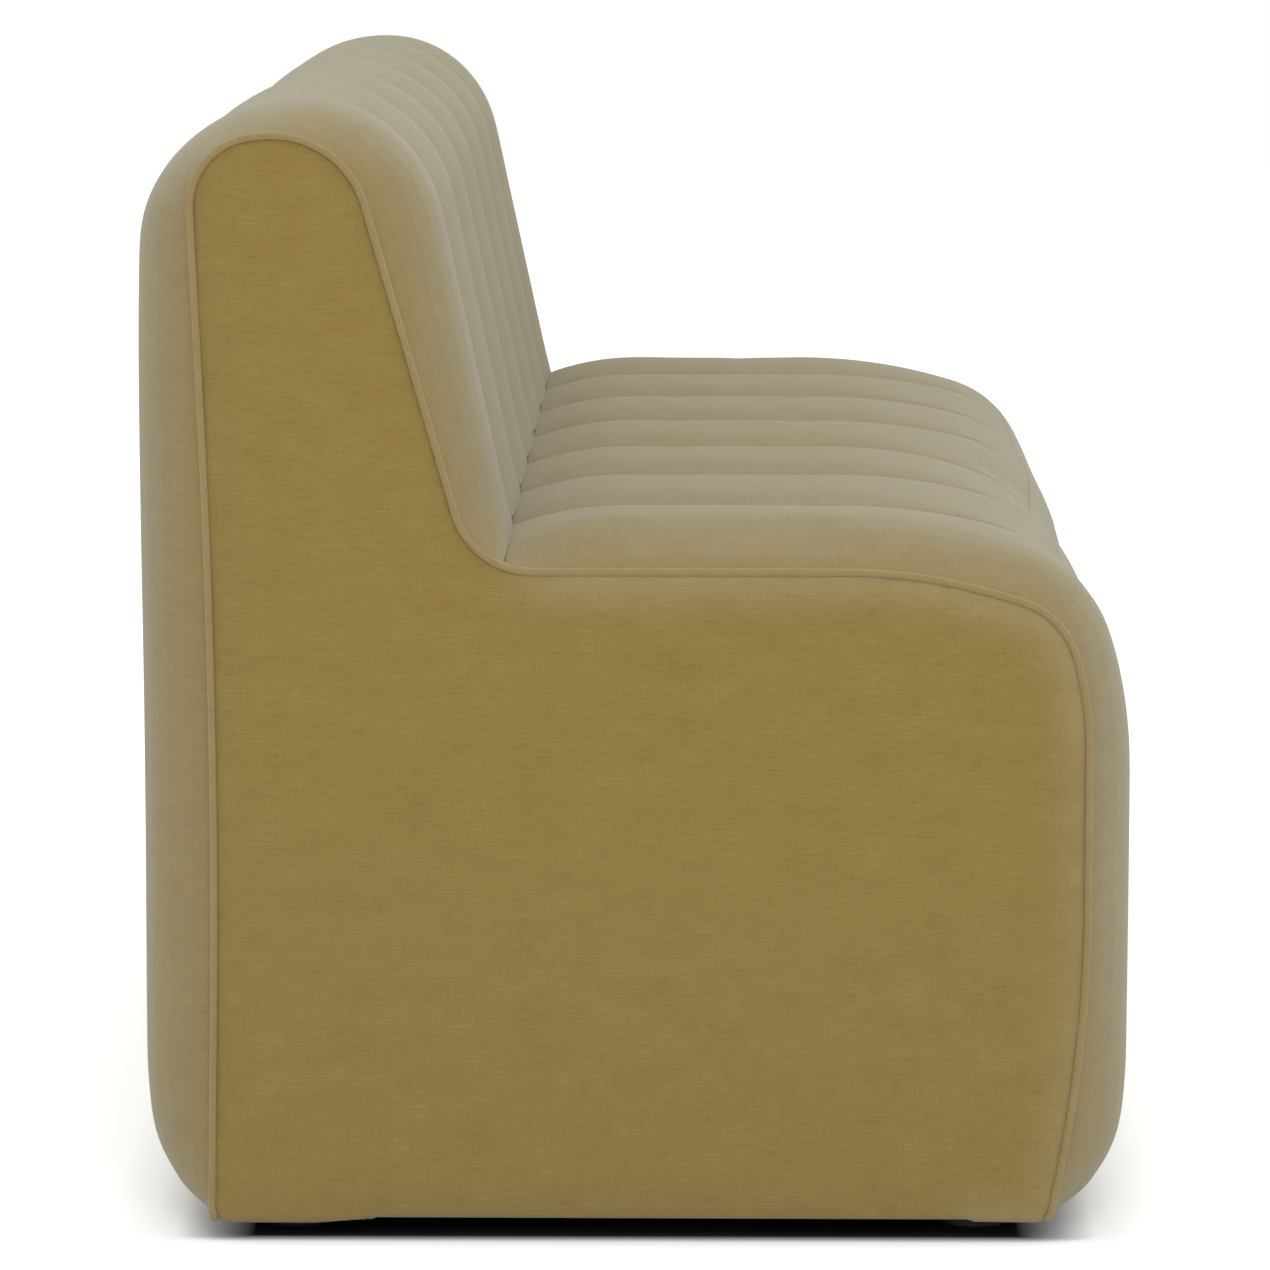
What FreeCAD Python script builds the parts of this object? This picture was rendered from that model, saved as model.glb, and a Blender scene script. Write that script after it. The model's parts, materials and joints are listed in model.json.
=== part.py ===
import FreeCAD, Part
import Sketcher
import math
import os
import re
from collections import namedtuple
from FreeCAD import Vector

# A free-standing upholstered dining bench with a channelled seat and back.
# Millimetres. Origin on the floor under the middle, X along the bench, front towards -Y, Z up.
# Profile points are (depth, height): depth grows towards the front, so y = -depth.

doc = FreeCAD.newDocument("dining_bench")
sheet = doc.addObject("Spreadsheet::Sheet", "Sizes")

SIZES = (
    ("bench_length", 1400, "over the piping of both ends"),
    ("bench_depth", 694, "over the front and rear padding"),
    ("bench_height", 795, "floor to top of back"),
    ("seat_height", 499, "floor to crown of seat"),
    ("seat_depth", 437.7, "front of seat to back cushion at seat height"),
    ("back_rake", 12.85, "degrees, back cushion from upright"),
    ("top_radius", 104, "rounding over the top of the back"),
    ("seat_rear_setback", 41, "where the seat starts to dip into the crease"),
    ("seat_rear_slope", 22, "degrees, dip of the seat at the crease"),
    ("seat_rear_radius", 180, "rounding of that dip"),
    ("shoulder_setback", 136.5, "from the front plane to the fall of the seat"),
    ("shoulder_slope", 17, "degrees, fall of the seat to the nose"),
    ("shoulder_radius", 470, "rounding into that fall"),
    ("nose_slope", 77, "degrees, steep run under the nose"),
    ("nose_radius", 82, "rounding of the seat's front edge"),
    ("nose_drop", 126.3, "seat height to the upright front"),
    ("nose_lower_radius", 380, "rounding into the upright front"),
    ("skirt_height", 100, "floor to where the skirt turns in"),
    ("skirt_slope", 18, "degrees, skirt turned in from upright"),
    ("skirt_radius", 235, "rounding into the skirt"),
    ("hem_radius", 70, "rounding of the skirt under the base"),
    ("hem_sink", 10, "how far that rounding is drawn flat under the base"),
    ("hem_tuck", 84, "front plane to the cover's edge under the base"),
    ("channel_count", 7, "sewn channels along the seat and back"),
    ("channel_relief", 6, "depth of a sewn channel line below the crown"),
    ("end_roll_radius", 36, "rounding of the covers at the ends"),
    ("band_depth", 62, "how far the covers reach in at the ends"),
    ("quilt_thickness", 18, "cover with its quilting layer"),
    ("pad_thickness", 60, "crown of the cover to the frame"),
    ("seat_pad_thickness", 75, "crown of the seat to the sprung deck"),
    ("panel_rear_inset", 40, "rear plane to the end panel at the top"),
    ("panel_waist_inset", 57, "rear plane to the end panel at its waist"),
    ("panel_waist_height", 375, "floor to that waist"),
    ("panel_foot_inset", 49, "rear plane to the end panel at the base"),
    ("panel_waist_radius", 7000, "bow of the end panel's rear edge"),
    ("panel_top_inset", 18.5, "top of back to the end panel"),
    ("panel_top_slope", 6, "degrees, rise of the end panel's top edge"),
    ("panel_top_rear_radius", 48, "rear top corner of the end panel"),
    ("panel_top_front_radius", 66, "front top corner of the end panel"),
    ("panel_rake", 16, "degrees, end panel's back edge from upright"),
    ("panel_back_setback", 22, "back cushion to the end panel at the seat"),
    ("panel_crease_radius", 55, "hollow corner of the end panel"),
    ("panel_seat_inset", 28, "seat height to the end panel"),
    ("panel_shoulder_setback", 147, "front plane to the fall of the end panel"),
    ("panel_shoulder_radius", 380, "rounding into that fall"),
    ("panel_nose_slope", 76, "degrees, steep run of the panel's nose"),
    ("panel_nose_radius", 58, "rounding of the panel's nose"),
    ("panel_nose_drop", 125, "seat height to the panel's upright front"),
    ("panel_lower_radius", 240, "rounding into that front"),
    ("panel_front_inset", 32.5, "front plane to the end panel"),
    ("panel_skirt_height", 130, "floor to where the end panel turns in"),
    ("panel_skirt_inset", 57, "front plane to the end panel at the base"),
    ("panel_skirt_radius", 1000, "rounding into that skirt"),
    ("piping_diameter", 5, "cord sewn round each end panel"),
    ("piping_clearance", 0.2, "round the cord in its seam"),
    ("end_cover_thickness", 2, "fabric of the end panels"),
    ("end_pad_thickness", 12, "wadding behind the end panels"),
    ("end_board_thickness", 18, "plywood end boards"),
    ("foot_height", 15, "floor to the underside"),
    ("dust_cover_thickness", 1, "black cloth under the base"),
    ("tuck_thickness", 2, "cover folded under the base"),
    ("panel_sheet_thickness", 3, "hardboard front and back"),
    ("rail_thickness", 25, "softwood rails"),
    ("base_rail_height", 70, "rails at the base"),
    ("seat_rail_width", 45, "rails that carry the springs"),
    ("seat_rail_height", 70, "rails that carry the springs"),
    ("deck_corner_radius", 35, "rounding of the frame's front edge"),
    ("frame_top_radius", 42, "rounding of the frame's top"),
    ("crest_height", 70, "rail along the top of the back"),
    ("lumbar_height", 70, "rail at the foot of the back"),
    ("lumbar_width", 45, "rail at the foot of the back"),
    ("rib_thickness", 18, "plywood rib at the middle"),
    ("block_size", 60, "corner blocks over the feet"),
    ("felt_thickness", 4, "felt over the springs"),
    ("spring_count", 6, "sinuous springs under the seat"),
    ("spring_wire", 3.8, "wire diameter"),
    ("spring_width", 52, "zigzag width"),
    ("spring_pitch", 26, "bar to bar"),
    ("spring_seat", 10, "inner edge of a rail to the last bar"),
    ("clip_thickness", 1.2, "steel under the spring bar"),
    ("clip_height", 4.2, "height of a spring clip"),
    ("clip_length", 22, "along the bar"),
    ("clip_width", 9, "across the bar"),
    ("webbing_width", 50, "straps behind the back cushion"),
    ("webbing_thickness", 2, "straps behind the back cushion"),
    ("webbing_lap", 28, "strap end on its rail"),
    ("foot_diameter", 52, "moulded glides"),
    ("foot_bevel", 3, "edge of a glide"),
    ("foot_end_inset", 57, "end of bench to the middle of a glide"),
    ("foot_side_inset", 108, "front or rear plane to the middle of a glide"),
    ("foot_recess_diameter", 15, "hole under a glide for its screw head"),
    ("foot_recess_depth", 8, "depth of that hole"),
    ("screw_diameter", 4.5, "wood screws"),
    ("screw_head_diameter", 9, "countersunk heads"),
    ("screw_head_height", 3, "countersunk heads"),
    ("rail_screw_length", 60, "end board into rail"),
    ("rail_screw_spread", 30, "between the two screws of a rail end"),
    ("block_screw_length", 75, "corner block into rail"),
    ("block_screw_height", 40, "above the underside of a block"),
    ("block_screw_spread", 36, "between the two screws of a block"),
    ("foot_screw_length", 40, "glide into block"),
    ("staple_width", 10, "crown of a staple"),
    ("staple_wire", 1, "wire of a staple"),
    ("staple_leg", 9, "leg of a staple"),
    ("staple_spacing", 105, "along the base"),
)

for row, (alias, value, note) in enumerate(SIZES, start=1):
    sheet.set("A%d" % row, alias)
    sheet.set("B%d" % row, str(value))
    sheet.setAlias("B%d" % row, alias)
    sheet.set("C%d" % row, note)
doc.recompute()
ALIASES = {alias for alias, value, note in SIZES}

# Places worked out from the sizes: each is an expression of sizes and of places above it.
PLACES = {
    "end_face": "bench_length / 2 - piping_diameter / 2",
    "end_pad_face": "end_face - end_cover_thickness",
    "end_board_face": "end_pad_face - end_pad_thickness",
    "end_board_inner": "end_board_face - end_board_thickness",
    "front_plane": "bench_depth / 2",
    "frame_face": "front_plane - pad_thickness",
    "rail_face": "frame_face - panel_sheet_thickness",
    "rail_back": "rail_face - rail_thickness",
    "dust_top": "foot_height + dust_cover_thickness",
    "frame_bottom": "dust_top + tuck_thickness",
    "frame_top": "bench_height - pad_thickness",
    "deck": "seat_height - seat_pad_thickness",
    "spring_top": "deck - felt_thickness",
    "spring_axis": "spring_top - spring_wire / 2",
    "rail_top": "spring_axis - spring_wire / 2 - clip_thickness",
    "seat_rail_bottom": "rail_top - seat_rail_height",
    "front_rail_back": "rail_face - seat_rail_width",
    "back_reach": "(pad_thickness + webbing_thickness) / cos(back_rake)",
    "felt_back": "front_plane - seat_depth + seat_pad_thickness * tan(back_rake) - pad_thickness / cos(back_rake)",
    "deck_back": "front_plane - seat_depth + seat_pad_thickness * tan(back_rake) - back_reach",
    "rear_rail_front": "deck_back",
    "rear_rail_back": "rear_rail_front - seat_rail_width",
    "lumbar_back": "deck_back - lumbar_width",
    "foot_x": "bench_length / 2 - foot_end_inset",
    "foot_depth": "front_plane - foot_side_inset",
}


def bound(text):
    """A size expression in the sheet's own terms."""
    def spell(match):
        word = match.group(0)
        if word in ALIASES:
            return "Sizes." + word
        if word in PLACES:
            return "(" + bound(PLACES[word]) + ")"
        return word
    text = re.sub(r"\b(cos|tan)\((\w+)\)", r"\1(\2 * 1 deg)", text)
    return re.sub(r"[a-z]\w*", spell, text)


def value(text):
    return float(sheet.evalExpression(bound(text)))


LONG = Vector(1, 0, 0)
UP = Vector(0, 0, 1)
EDGE_SHARE = 0.99  # most of an edge that its two roundings may take
ARC_SHARE = 0.9    # most of a rounding's radius that a cover's end may reach in
PARTS = {}


def hold(label, thing):
    thing.Label = label
    PARTS[label] = thing
    return thing


def at(depth, height, x=0.0):
    return Vector(x, -depth, height)


# Profiles: corners joined by straight runs and rounded by arcs.

Corner = namedtuple("Corner", "point radius")
Run = namedtuple("Run", "start end way centre turn")


def corner(depth, height, radius=0.0):
    return Corner(at(depth, height), radius)


def crossing(point_a, way_a, point_b, way_b):
    """Where two straight lines of the profile plane meet."""
    across = way_b.cross(LONG)
    return point_a + way_a * ((point_b - point_a).dot(across) / way_a.dot(across))


def slope(degrees):
    """Travel towards the front, falling by this many degrees."""
    return at(math.cos(math.radians(degrees)), -math.sin(math.radians(degrees)))


def turns(corners, closed):
    """Travel before and after each corner, its turn and the tangent length that its edges leave room for."""
    count = len(corners)
    ways = []
    reach = []
    for i in range(count):
        before = corners[i - 1].point
        here = corners[i].point
        after = corners[(i + 1) % count].point
        come = (here - before).normalize()
        go = (after - here).normalize()
        angle = math.atan2(come.cross(go).dot(LONG), come.dot(go))
        end = not closed and i in (0, count - 1)
        ways.append((come, go, 0.0 if end else angle))
        reach.append(0.0 if end else corners[i].radius * abs(math.tan(angle / 2)))
    share = [1.0] * count
    for i in range(count if closed else count - 1):
        j = (i + 1) % count
        length = (corners[j].point - corners[i].point).Length
        need = reach[i] + reach[j]
        if need > EDGE_SHARE * length:
            share[i] = min(share[i], EDGE_SHARE * length / need)
            share[j] = min(share[j], EDGE_SHARE * length / need)
    return [(come, go, angle, reach[i] * share[i]) for i, (come, go, angle) in enumerate(ways)]


def trace(corners, closed=False):
    """The straight runs and arcs of a profile, in order."""
    runs = []
    bends = []
    for (point, radius), (come, go, angle, reach) in zip(corners, turns(corners, closed)):
        start = point - come * reach
        if reach > 0:
            inward = LONG.cross(come) * math.copysign(1, angle)
            centre = start + inward * (reach / abs(math.tan(angle / 2)))
            bends.append(Run(start, point + go * reach, come, centre, math.degrees(angle)))
        else:
            bends.append(Run(point, point, come, None, 0.0))
    for i, bend in enumerate(bends):
        if i or closed:
            begin = bends[i - 1].end
            way = (bend.start - begin).normalize()
            runs.append(Run(begin, bend.start, way, None, 0.0))
        if bend.centre:
            runs.append(bend)
    return runs


def along(run, share):
    """Point and travel part of the way along a run."""
    if run.centre is None:
        return run.start + (run.end - run.start) * share, run.way
    spin = FreeCAD.Rotation(LONG, run.turn * share)
    return run.centre + spin.multVec(run.start - run.centre), spin.multVec(run.way)


def split(run, share):
    point, way = along(run, share)
    return (Run(run.start, point, run.way, run.centre, run.turn * share),
            Run(point, run.end, way, run.centre, run.turn * (1 - share)))


def edge(run):
    if run.centre is None:
        return Part.makeLine(run.start, run.end)
    return Part.Arc(run.start, along(run, 0.5)[0], run.end).toShape()


def inset(corners, distance):
    """A profile moved into the padding by a distance, its roundings with it."""
    moved = []
    last = len(corners) - 1
    for i, (point, radius) in enumerate(corners):
        come = (point - corners[max(i - 1, 0)].point)
        go = (corners[min(i + 1, last)].point - point)
        come = (come if i else go).normalize()
        go = (go if i < last else come).normalize()
        shift_come = point - come.cross(LONG) * distance
        shift_go = point - go.cross(LONG) * distance
        turn = come.cross(go).dot(LONG)
        meet = shift_go if i in (0, last) else crossing(shift_come, come, shift_go, go)
        moved.append(Corner(meet, max(radius - math.copysign(distance, turn), 0.0) if radius else 0.0))
    return moved


def region(corners):
    """The closed flat face of a profile."""
    return Part.Face(Part.Wire([edge(run) for run in trace(corners, closed=True)]))


def prism(face, x_from, x_to):
    solid = face.copy()
    solid.translate(LONG * x_from)
    return solid.extrude(LONG * (x_to - x_from))


front_plane = value("front_plane")
base = value("foot_height")
seat_height = value("seat_height")
top = value("bench_height")
back_way = slope(90 - value("back_rake"))
crease_line = at(front_plane - value("seat_depth"), seat_height)


def crown_corners():
    """Outline over the crowns of the padding, from under the rear, over the top, to under the front."""
    tuck = front_plane - value("hem_tuck")
    low = base - value("hem_sink")
    hem = front_plane - (value("skirt_height") - low) * math.tan(math.radians(value("skirt_slope")))
    back_top = crossing(crease_line, back_way, at(0, top), at(1, 0))
    dip = at(-crease_line.y + value("seat_rear_setback"), seat_height)
    crease = crossing(crease_line, back_way, dip, slope(-value("seat_rear_slope")))
    shoulder = at(front_plane - value("shoulder_setback"), seat_height)
    upright = at(front_plane, seat_height - value("nose_drop"))
    nose = crossing(shoulder, slope(value("shoulder_slope")), upright, slope(value("nose_slope")))
    return [
        corner(-tuck, low),
        corner(-hem, low, value("hem_radius")),
        corner(-front_plane, value("skirt_height"), value("skirt_radius")),
        corner(-front_plane, top, value("top_radius")),
        Corner(back_top, value("top_radius")),
        Corner(crease, 0.0),
        Corner(dip, value("seat_rear_radius")),
        Corner(shoulder, value("shoulder_radius")),
        Corner(nose, value("nose_radius")),
        Corner(upright, value("nose_lower_radius")),
        corner(front_plane, value("skirt_height"), value("skirt_radius")),
        corner(hem, low, value("hem_radius")),
        corner(tuck, low),
    ]


def panel_corners():
    """Outline of an end panel, from the base at the rear, over the top, to the base at the front."""
    rise = math.tan(math.radians(value("panel_top_slope")))
    seat = seat_height - value("panel_seat_inset")
    edge_way = slope(90 - value("panel_rake"))
    edge_foot = at(-crease_line.y - value("panel_back_setback"), seat)
    peak = crossing(edge_foot, edge_way, at(0, top - value("panel_top_inset")), at(1, 0))
    rear = value("panel_rear_inset") - front_plane
    shoulder = at(front_plane - value("panel_shoulder_setback"), seat)
    face = front_plane - value("panel_front_inset")
    upright = at(face, seat_height - value("panel_nose_drop"))
    nose = crossing(shoulder, slope(value("shoulder_slope")), upright, slope(value("panel_nose_slope")))
    return [
        corner(value("panel_foot_inset") - front_plane, base),
        corner(value("panel_waist_inset") - front_plane, value("panel_waist_height"), value("panel_waist_radius")),
        corner(rear, peak.z - (-peak.y - rear) * rise, value("panel_top_rear_radius")),
        Corner(peak, value("panel_top_front_radius")),
        Corner(edge_foot, value("panel_crease_radius")),
        Corner(shoulder, value("panel_shoulder_radius")),
        Corner(nose, value("panel_nose_radius")),
        Corner(upright, value("panel_lower_radius")),
        corner(face, value("panel_skirt_height"), value("panel_skirt_radius")),
        corner(front_plane - value("panel_skirt_inset"), base),
    ]


def back_line(reach):
    """A point of the line this far behind the back cushion's crown."""
    return crease_line - back_way.cross(LONG) * reach


def back_at(reach, height):
    return crossing(back_line(reach), back_way, at(0, height), at(1, 0))


def frame_corners():
    """Outline of the timber frame, the padding's thickness inside the crown."""
    face = value("frame_face")
    crest = value("frame_top")
    deck = value("deck")
    return [
        corner(-face, value("frame_bottom")),
        corner(-face, crest, value("frame_top_radius")),
        Corner(back_at(PAD, crest), value("frame_top_radius")),
        Corner(back_at(PAD, deck), 0.0),
        corner(face, deck, value("deck_corner_radius")),
        corner(face, value("frame_bottom")),
    ]


CROWN = crown_corners()
PANEL = panel_corners()
PAD = value("pad_thickness")
WEBBED = PAD + value("webbing_thickness")
END_FACE = value("end_face")
END_PAD_FACE = value("end_pad_face")
END_BOARD_FACE = value("end_board_face")
END_BOARD_INNER = value("end_board_inner")
FRAME_BOTTOM = value("frame_bottom")
DUST_TOP = value("dust_top")


def feature(name, shape):
    thing = doc.addObject("Part::Feature", name)
    thing.Shape = shape
    thing.Placement = FreeCAD.Placement()
    return thing


def box(name, x_from, x_to, rear, front, bottom, height):
    """A straight block, its sizes and place bound to the sheet."""
    thing = doc.addObject("Part::Box", name)
    thing.setExpression("Length", bound("(%s) - (%s)" % (x_to, x_from)))
    thing.setExpression("Width", bound("(%s) - (%s)" % (front, rear)))
    thing.setExpression("Height", bound(height))
    thing.setExpression("Placement.Base.x", bound(x_from))
    thing.setExpression("Placement.Base.y", bound("-(%s)" % front))
    thing.setExpression("Placement.Base.z", bound(bottom))
    return thing


def cut(name, whole, *tools):
    for tool in tools:
        thing = doc.addObject("Part::Cut", name)
        thing.Base = whole
        thing.Tool = tool
        whole = thing
    return whole


def common(name, whole, tool):
    thing = doc.addObject("Part::Common", name)
    thing.Base = whole
    thing.Tool = tool
    return thing


def side(point, normal):
    """Everything on one side of a plane that runs along the bench."""
    far = value("bench_length")
    sweep = normal.cross(LONG) * far
    wall = [point + sweep, point - sweep, point - sweep + normal * far, point + sweep + normal * far]
    return prism(Part.Face(Part.makePolygon(wall + wall[:1])), -far, far)


def group(shapes):
    return Part.makeCompound(shapes)


# Fasteners: each kind is one group, and the timber is cut by the same shapes.

def screw(head, way, length):
    """A countersunk wood screw, its head's flat face at the given point."""
    shank = value("screw_diameter") / 2
    sink = value("screw_head_height")
    cone = Part.makeCone(value("screw_head_diameter") / 2, shank, sink, head, way)
    return cone.fuse(Part.makeCylinder(shank, length - sink, head + way * sink, way)).removeSplitter()


def pan_screw(seat, way, length):
    """A pan-head screw, the underside of its head at the given point."""
    deep = value("screw_head_height")
    cap = Part.makeCylinder(value("screw_head_diameter") / 2, deep, seat - way * deep, way)
    return cap.fuse(Part.makeCylinder(value("screw_diameter") / 2, length, seat, way)).removeSplitter()


RAIL_MIDDLES = (
    ("(rail_back + rail_face) / 2", "frame_bottom + base_rail_height / 2"),
    ("-(rail_back + rail_face) / 2", "frame_bottom + base_rail_height / 2"),
    ("(front_rail_back + rail_face) / 2", "rail_top - seat_rail_height / 2"),
    ("(rear_rail_back + rear_rail_front) / 2", "rail_top - seat_rail_height / 2"),
    ("-(rail_back + rail_face) / 2", "rail_top - seat_rail_height / 2"),
    ("lumbar_back + lumbar_width / 3", "deck + lumbar_height / 2"),
    ("-(rail_back + rail_face) / 2", "frame_top - crest_height / 2"),
)
CORNERS = [(end, face) for end in (-1, 1) for face in (-1, 1)]


def rail_screw_shapes():
    spread = value("rail_screw_spread") / 2
    shapes = []
    for depth, height in RAIL_MIDDLES:
        for end in (-1, 1):
            for step in (-spread, spread):
                head = at(value(depth), value(height) + step, end * END_BOARD_FACE)
                shapes.append(screw(head, LONG * -end, value("rail_screw_length")))
    return shapes


def block_screw_shapes():
    block = value("block_size")
    spread = value("block_screw_spread") / 2
    shapes = []
    for end, face in CORNERS:
        for step in (-spread, spread):
            x = end * (END_BOARD_INNER - block / 2 + step)
            head = at(face * (value("rail_back") - block), DUST_TOP + value("block_screw_height"), x)
            shapes.append(screw(head, at(face, 0), value("block_screw_length")))
    return shapes


def foot_screw_shapes():
    shapes = []
    for end, face in CORNERS:
        seat = at(face * value("foot_depth"), value("foot_recess_depth"), end * value("foot_x"))
        shapes.append(pan_screw(seat, UP, value("foot_screw_length")))
    return shapes


def staple(middle, way):
    """A staple driven up through the cloth, its crown along the given way."""
    wire = value("staple_wire")
    half = value("staple_width") / 2
    across = way.cross(UP) * (wire / 2)
    low = middle - UP * wire
    high = middle + UP * value("staple_leg")
    path = [(-half, low), (half, low), (half, high), (half - wire, high), (half - wire, middle)]
    path += [(wire - half, middle), (wire - half, high), (-half, high), (-half, low)]
    outline = Part.makePolygon([point + way * step - across for step, point in path])
    return Part.Face(outline).extrude(across * 2)


def spread_out(reach, spacing):
    """Evenly spaced places over twice the reach, no further apart than the spacing."""
    count = math.ceil(2 * reach / spacing)
    return [-reach + 2 * reach * i / count for i in range(count + 1)]


def staple_shapes():
    clear = value("foot_diameter / 2 + staple_width")
    along_line = (value("rail_back") + front_plane - value("hem_tuck")) / 2
    across_line = (END_BOARD_INNER + END_BOARD_FACE) / 2
    spacing = value("staple_spacing")
    shapes = []
    for x in spread_out(value("foot_x") - clear, spacing):
        for face in (-1, 1):
            shapes.append(staple(at(face * along_line, base, x), LONG))
    for depth in spread_out(value("foot_depth") - clear, spacing):
        for end in (-1, 1):
            shapes.append(staple(at(depth, base, end * across_line), at(1, 0)))
    return shapes


rail_screws = hold("rail_screws", feature("rail_screws", group(rail_screw_shapes())))
block_screws = hold("block_screws", feature("block_screws", group(block_screw_shapes())))
foot_screws = hold("foot_screws", feature("foot_screws", group(foot_screw_shapes())))
staples = hold("dust_cover_staples", feature("dust_cover_staples", group(staple_shapes())))


# Timber frame.

frame_solid = prism(region(frame_corners()), -END_BOARD_FACE, END_BOARD_FACE)
frame_form = feature("frame_form", frame_solid)
back_form = feature("back_form", frame_solid.common(side(back_line(WEBBED), LONG.cross(back_way))))

for label, end in (("end_board_right", -1), ("end_board_left", 1)):
    span = sorted((end * END_BOARD_INNER, end * END_BOARD_FACE))
    board = feature(label + "_blank", prism(region(frame_corners()), *span))
    hold(label, cut(label, board, rail_screws, staples))


def rail(label, rear, front, bottom, height, form=None, tools=()):
    blank = box(label + "_blank", "-end_board_inner", "end_board_inner", rear, front, bottom, height)
    if form:
        blank = common(label + "_shaped", blank, form)
    return hold(label, cut(label, blank, rail_screws, *tools))


at_base = (block_screws, staples)
rail("base_front_rail", "rail_back", "rail_face", "frame_bottom", "base_rail_height", tools=at_base)
rail("base_rear_rail", "-rail_face", "-rail_back", "frame_bottom", "base_rail_height", tools=at_base)
rail("seat_front_rail", "front_rail_back", "rail_face", "seat_rail_bottom", "seat_rail_height", frame_form)
rear_rail = rail("seat_rear_rail", "rear_rail_back", "rear_rail_front", "seat_rail_bottom", "seat_rail_height")
rail("rear_mid_rail", "-rail_face", "-rail_back", "seat_rail_bottom", "seat_rail_height")
lumbar = rail("lumbar_rail", "lumbar_back", "deck_back", "deck", "lumbar_height", back_form)
rail("crest_rail", "-rail_face", "deck_back", "frame_top - crest_height", "crest_height", back_form)


def rib_corners():
    """Upright rib at the middle, notched under the front rail, from the base to the crest rail."""
    inner = value("rail_back")
    crest = value("frame_top - crest_height")
    deck = value("rail_top")
    rail_low = value("seat_rail_bottom")
    front = value("front_rail_back")
    places = [(-inner, FRAME_BOTTOM), (-inner, crest)]
    places += [(-back_at(WEBBED, crest).y, crest), (-back_at(WEBBED, deck).y, deck)]
    places += [(front, deck), (front, rail_low), (inner, rail_low), (inner, FRAME_BOTTOM)]
    return [corner(depth, height) for depth, height in places]


rib_half = value("rib_thickness") / 2
rib = feature("centre_rib_blank", prism(region(rib_corners()), -rib_half, rib_half))
hold("centre_rib", cut("centre_rib", rib, rear_rail, lumbar))

for end, face in CORNERS:
    label = "corner_block_%s_%s" % ("rear" if face < 0 else "front", "right" if end < 0 else "left")
    x_span = ["end_board_inner - block_size", "end_board_inner"]
    depth_span = ["rail_back - block_size", "rail_back"]
    if end < 0:
        x_span = ["-(%s)" % text for text in reversed(x_span)]
    if face < 0:
        depth_span = ["-(%s)" % text for text in reversed(depth_span)]
    blank = box(label + "_blank", *x_span, *depth_span, "dust_top", "block_size")
    hold(label, cut(label, blank, block_screws, foot_screws))

hold("front_panel", box("front_panel", "-end_board_inner", "end_board_inner", "rail_face", "frame_face",
                        "frame_bottom", "deck - deck_corner_radius - frame_bottom"))
hold("back_panel", box("back_panel", "-end_board_inner", "end_board_inner", "-frame_face", "-rail_face",
                       "frame_bottom", "frame_top - frame_top_radius - frame_bottom"))


# Seat springs with their clips, the felt over them, and the back straps.

def spring_places():
    count = int(value("spring_count"))
    spacing = 2 * END_BOARD_INNER / count
    return [(i + 0.5) * spacing - END_BOARD_INNER for i in range(count)]


SPRING_AXIS = value("spring_axis")
SPRING_REAR = value("rear_rail_front - spring_seat")
SPRING_FRONT = value("front_rail_back + spring_seat")


def spring_shape(x):
    """A flat zigzag of wire: bars along the bench joined by half turns."""
    bars = round((SPRING_FRONT - SPRING_REAR) / value("spring_pitch"))
    pitch = (SPRING_FRONT - SPRING_REAR) / bars
    half = value("spring_width") / 2 - pitch / 2
    edges = []
    for i in range(bars + 1):
        hand = 1 if i % 2 == 0 else -1
        depth = SPRING_REAR + i * pitch
        bar_end = at(depth, SPRING_AXIS, x + hand * half)
        edges.append(Part.makeLine(at(depth, SPRING_AXIS, x - hand * half), bar_end))
        if i < bars:
            bulge = at(depth + pitch / 2, SPRING_AXIS, x + hand * (half + pitch / 2))
            next_bar = at(depth + pitch, SPRING_AXIS, x + hand * half)
            edges.append(Part.Arc(bar_end, bulge, next_bar).toShape())
    ring = Part.makeCircle(value("spring_wire") / 2, edges[0].firstVertex().Point, LONG)
    return Part.Wire(edges).makePipeShell([Part.Wire(ring)], True, False)


def clip_shape(x, depth):
    """A clip screwed on a rail: a block with an open slot that the spring's last bar lies in."""
    length = value("clip_length")
    width = value("clip_width")
    corner_point = at(depth + width / 2, value("rail_top"), x - length / 2)
    block = Part.makeBox(length, width, value("clip_height"), corner_point)
    slot = Part.makeCylinder(value("spring_wire") / 2, 2 * length, at(depth, SPRING_AXIS, x - length), LONG)
    return block.cut(slot)


hold("seat_springs", feature("seat_springs", group([spring_shape(x) for x in spring_places()])))
for label, depth in (("spring_clips_front", SPRING_FRONT), ("spring_clips_rear", SPRING_REAR)):
    hold(label, feature(label, group([clip_shape(x, depth) for x in spring_places()])))
hold("spring_felt", box("spring_felt", "-end_board_inner", "end_board_inner", "felt_back",
                        "frame_face - deck_corner_radius", "spring_top", "felt_thickness"))


def strap_shape(x):
    lap = value("webbing_lap")
    low = value("deck + lumbar_height") - lap
    high = value("frame_top - crest_height") + lap
    into = back_way.cross(LONG) * -value("webbing_thickness")
    ends = [back_at(PAD, low), back_at(PAD, high)]
    outline = ends + [ends[1] + into, ends[0] + into, ends[0]]
    half = value("webbing_width") / 2
    return prism(Part.Face(Part.makePolygon(outline)), x - half, x + half)


hold("back_webbing", feature("back_webbing", group([strap_shape(x) for x in spring_places()])))


# Padding and covers: the crown outline split at the seams over the top, in the crease and at the nose.

RUNS = trace(CROWN)
BENDS = [i for i, run in enumerate(RUNS) if run.centre]
TOP_FRONT, DIP, NOSE = BENDS[3], BENDS[4], BENDS[6]
top_rear, top_front = split(RUNS[TOP_FRONT - 1], 0.5)
nose_upper, nose_lower = split(RUNS[NOSE], 0.5)
down_back = RUNS[TOP_FRONT + 1]
up_seat = RUNS[DIP - 1]
lap = value("band_depth")
down_back = down_back._replace(end=down_back.end + down_back.way * lap)
up_seat = up_seat._replace(start=up_seat.start - up_seat.way * lap)

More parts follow.
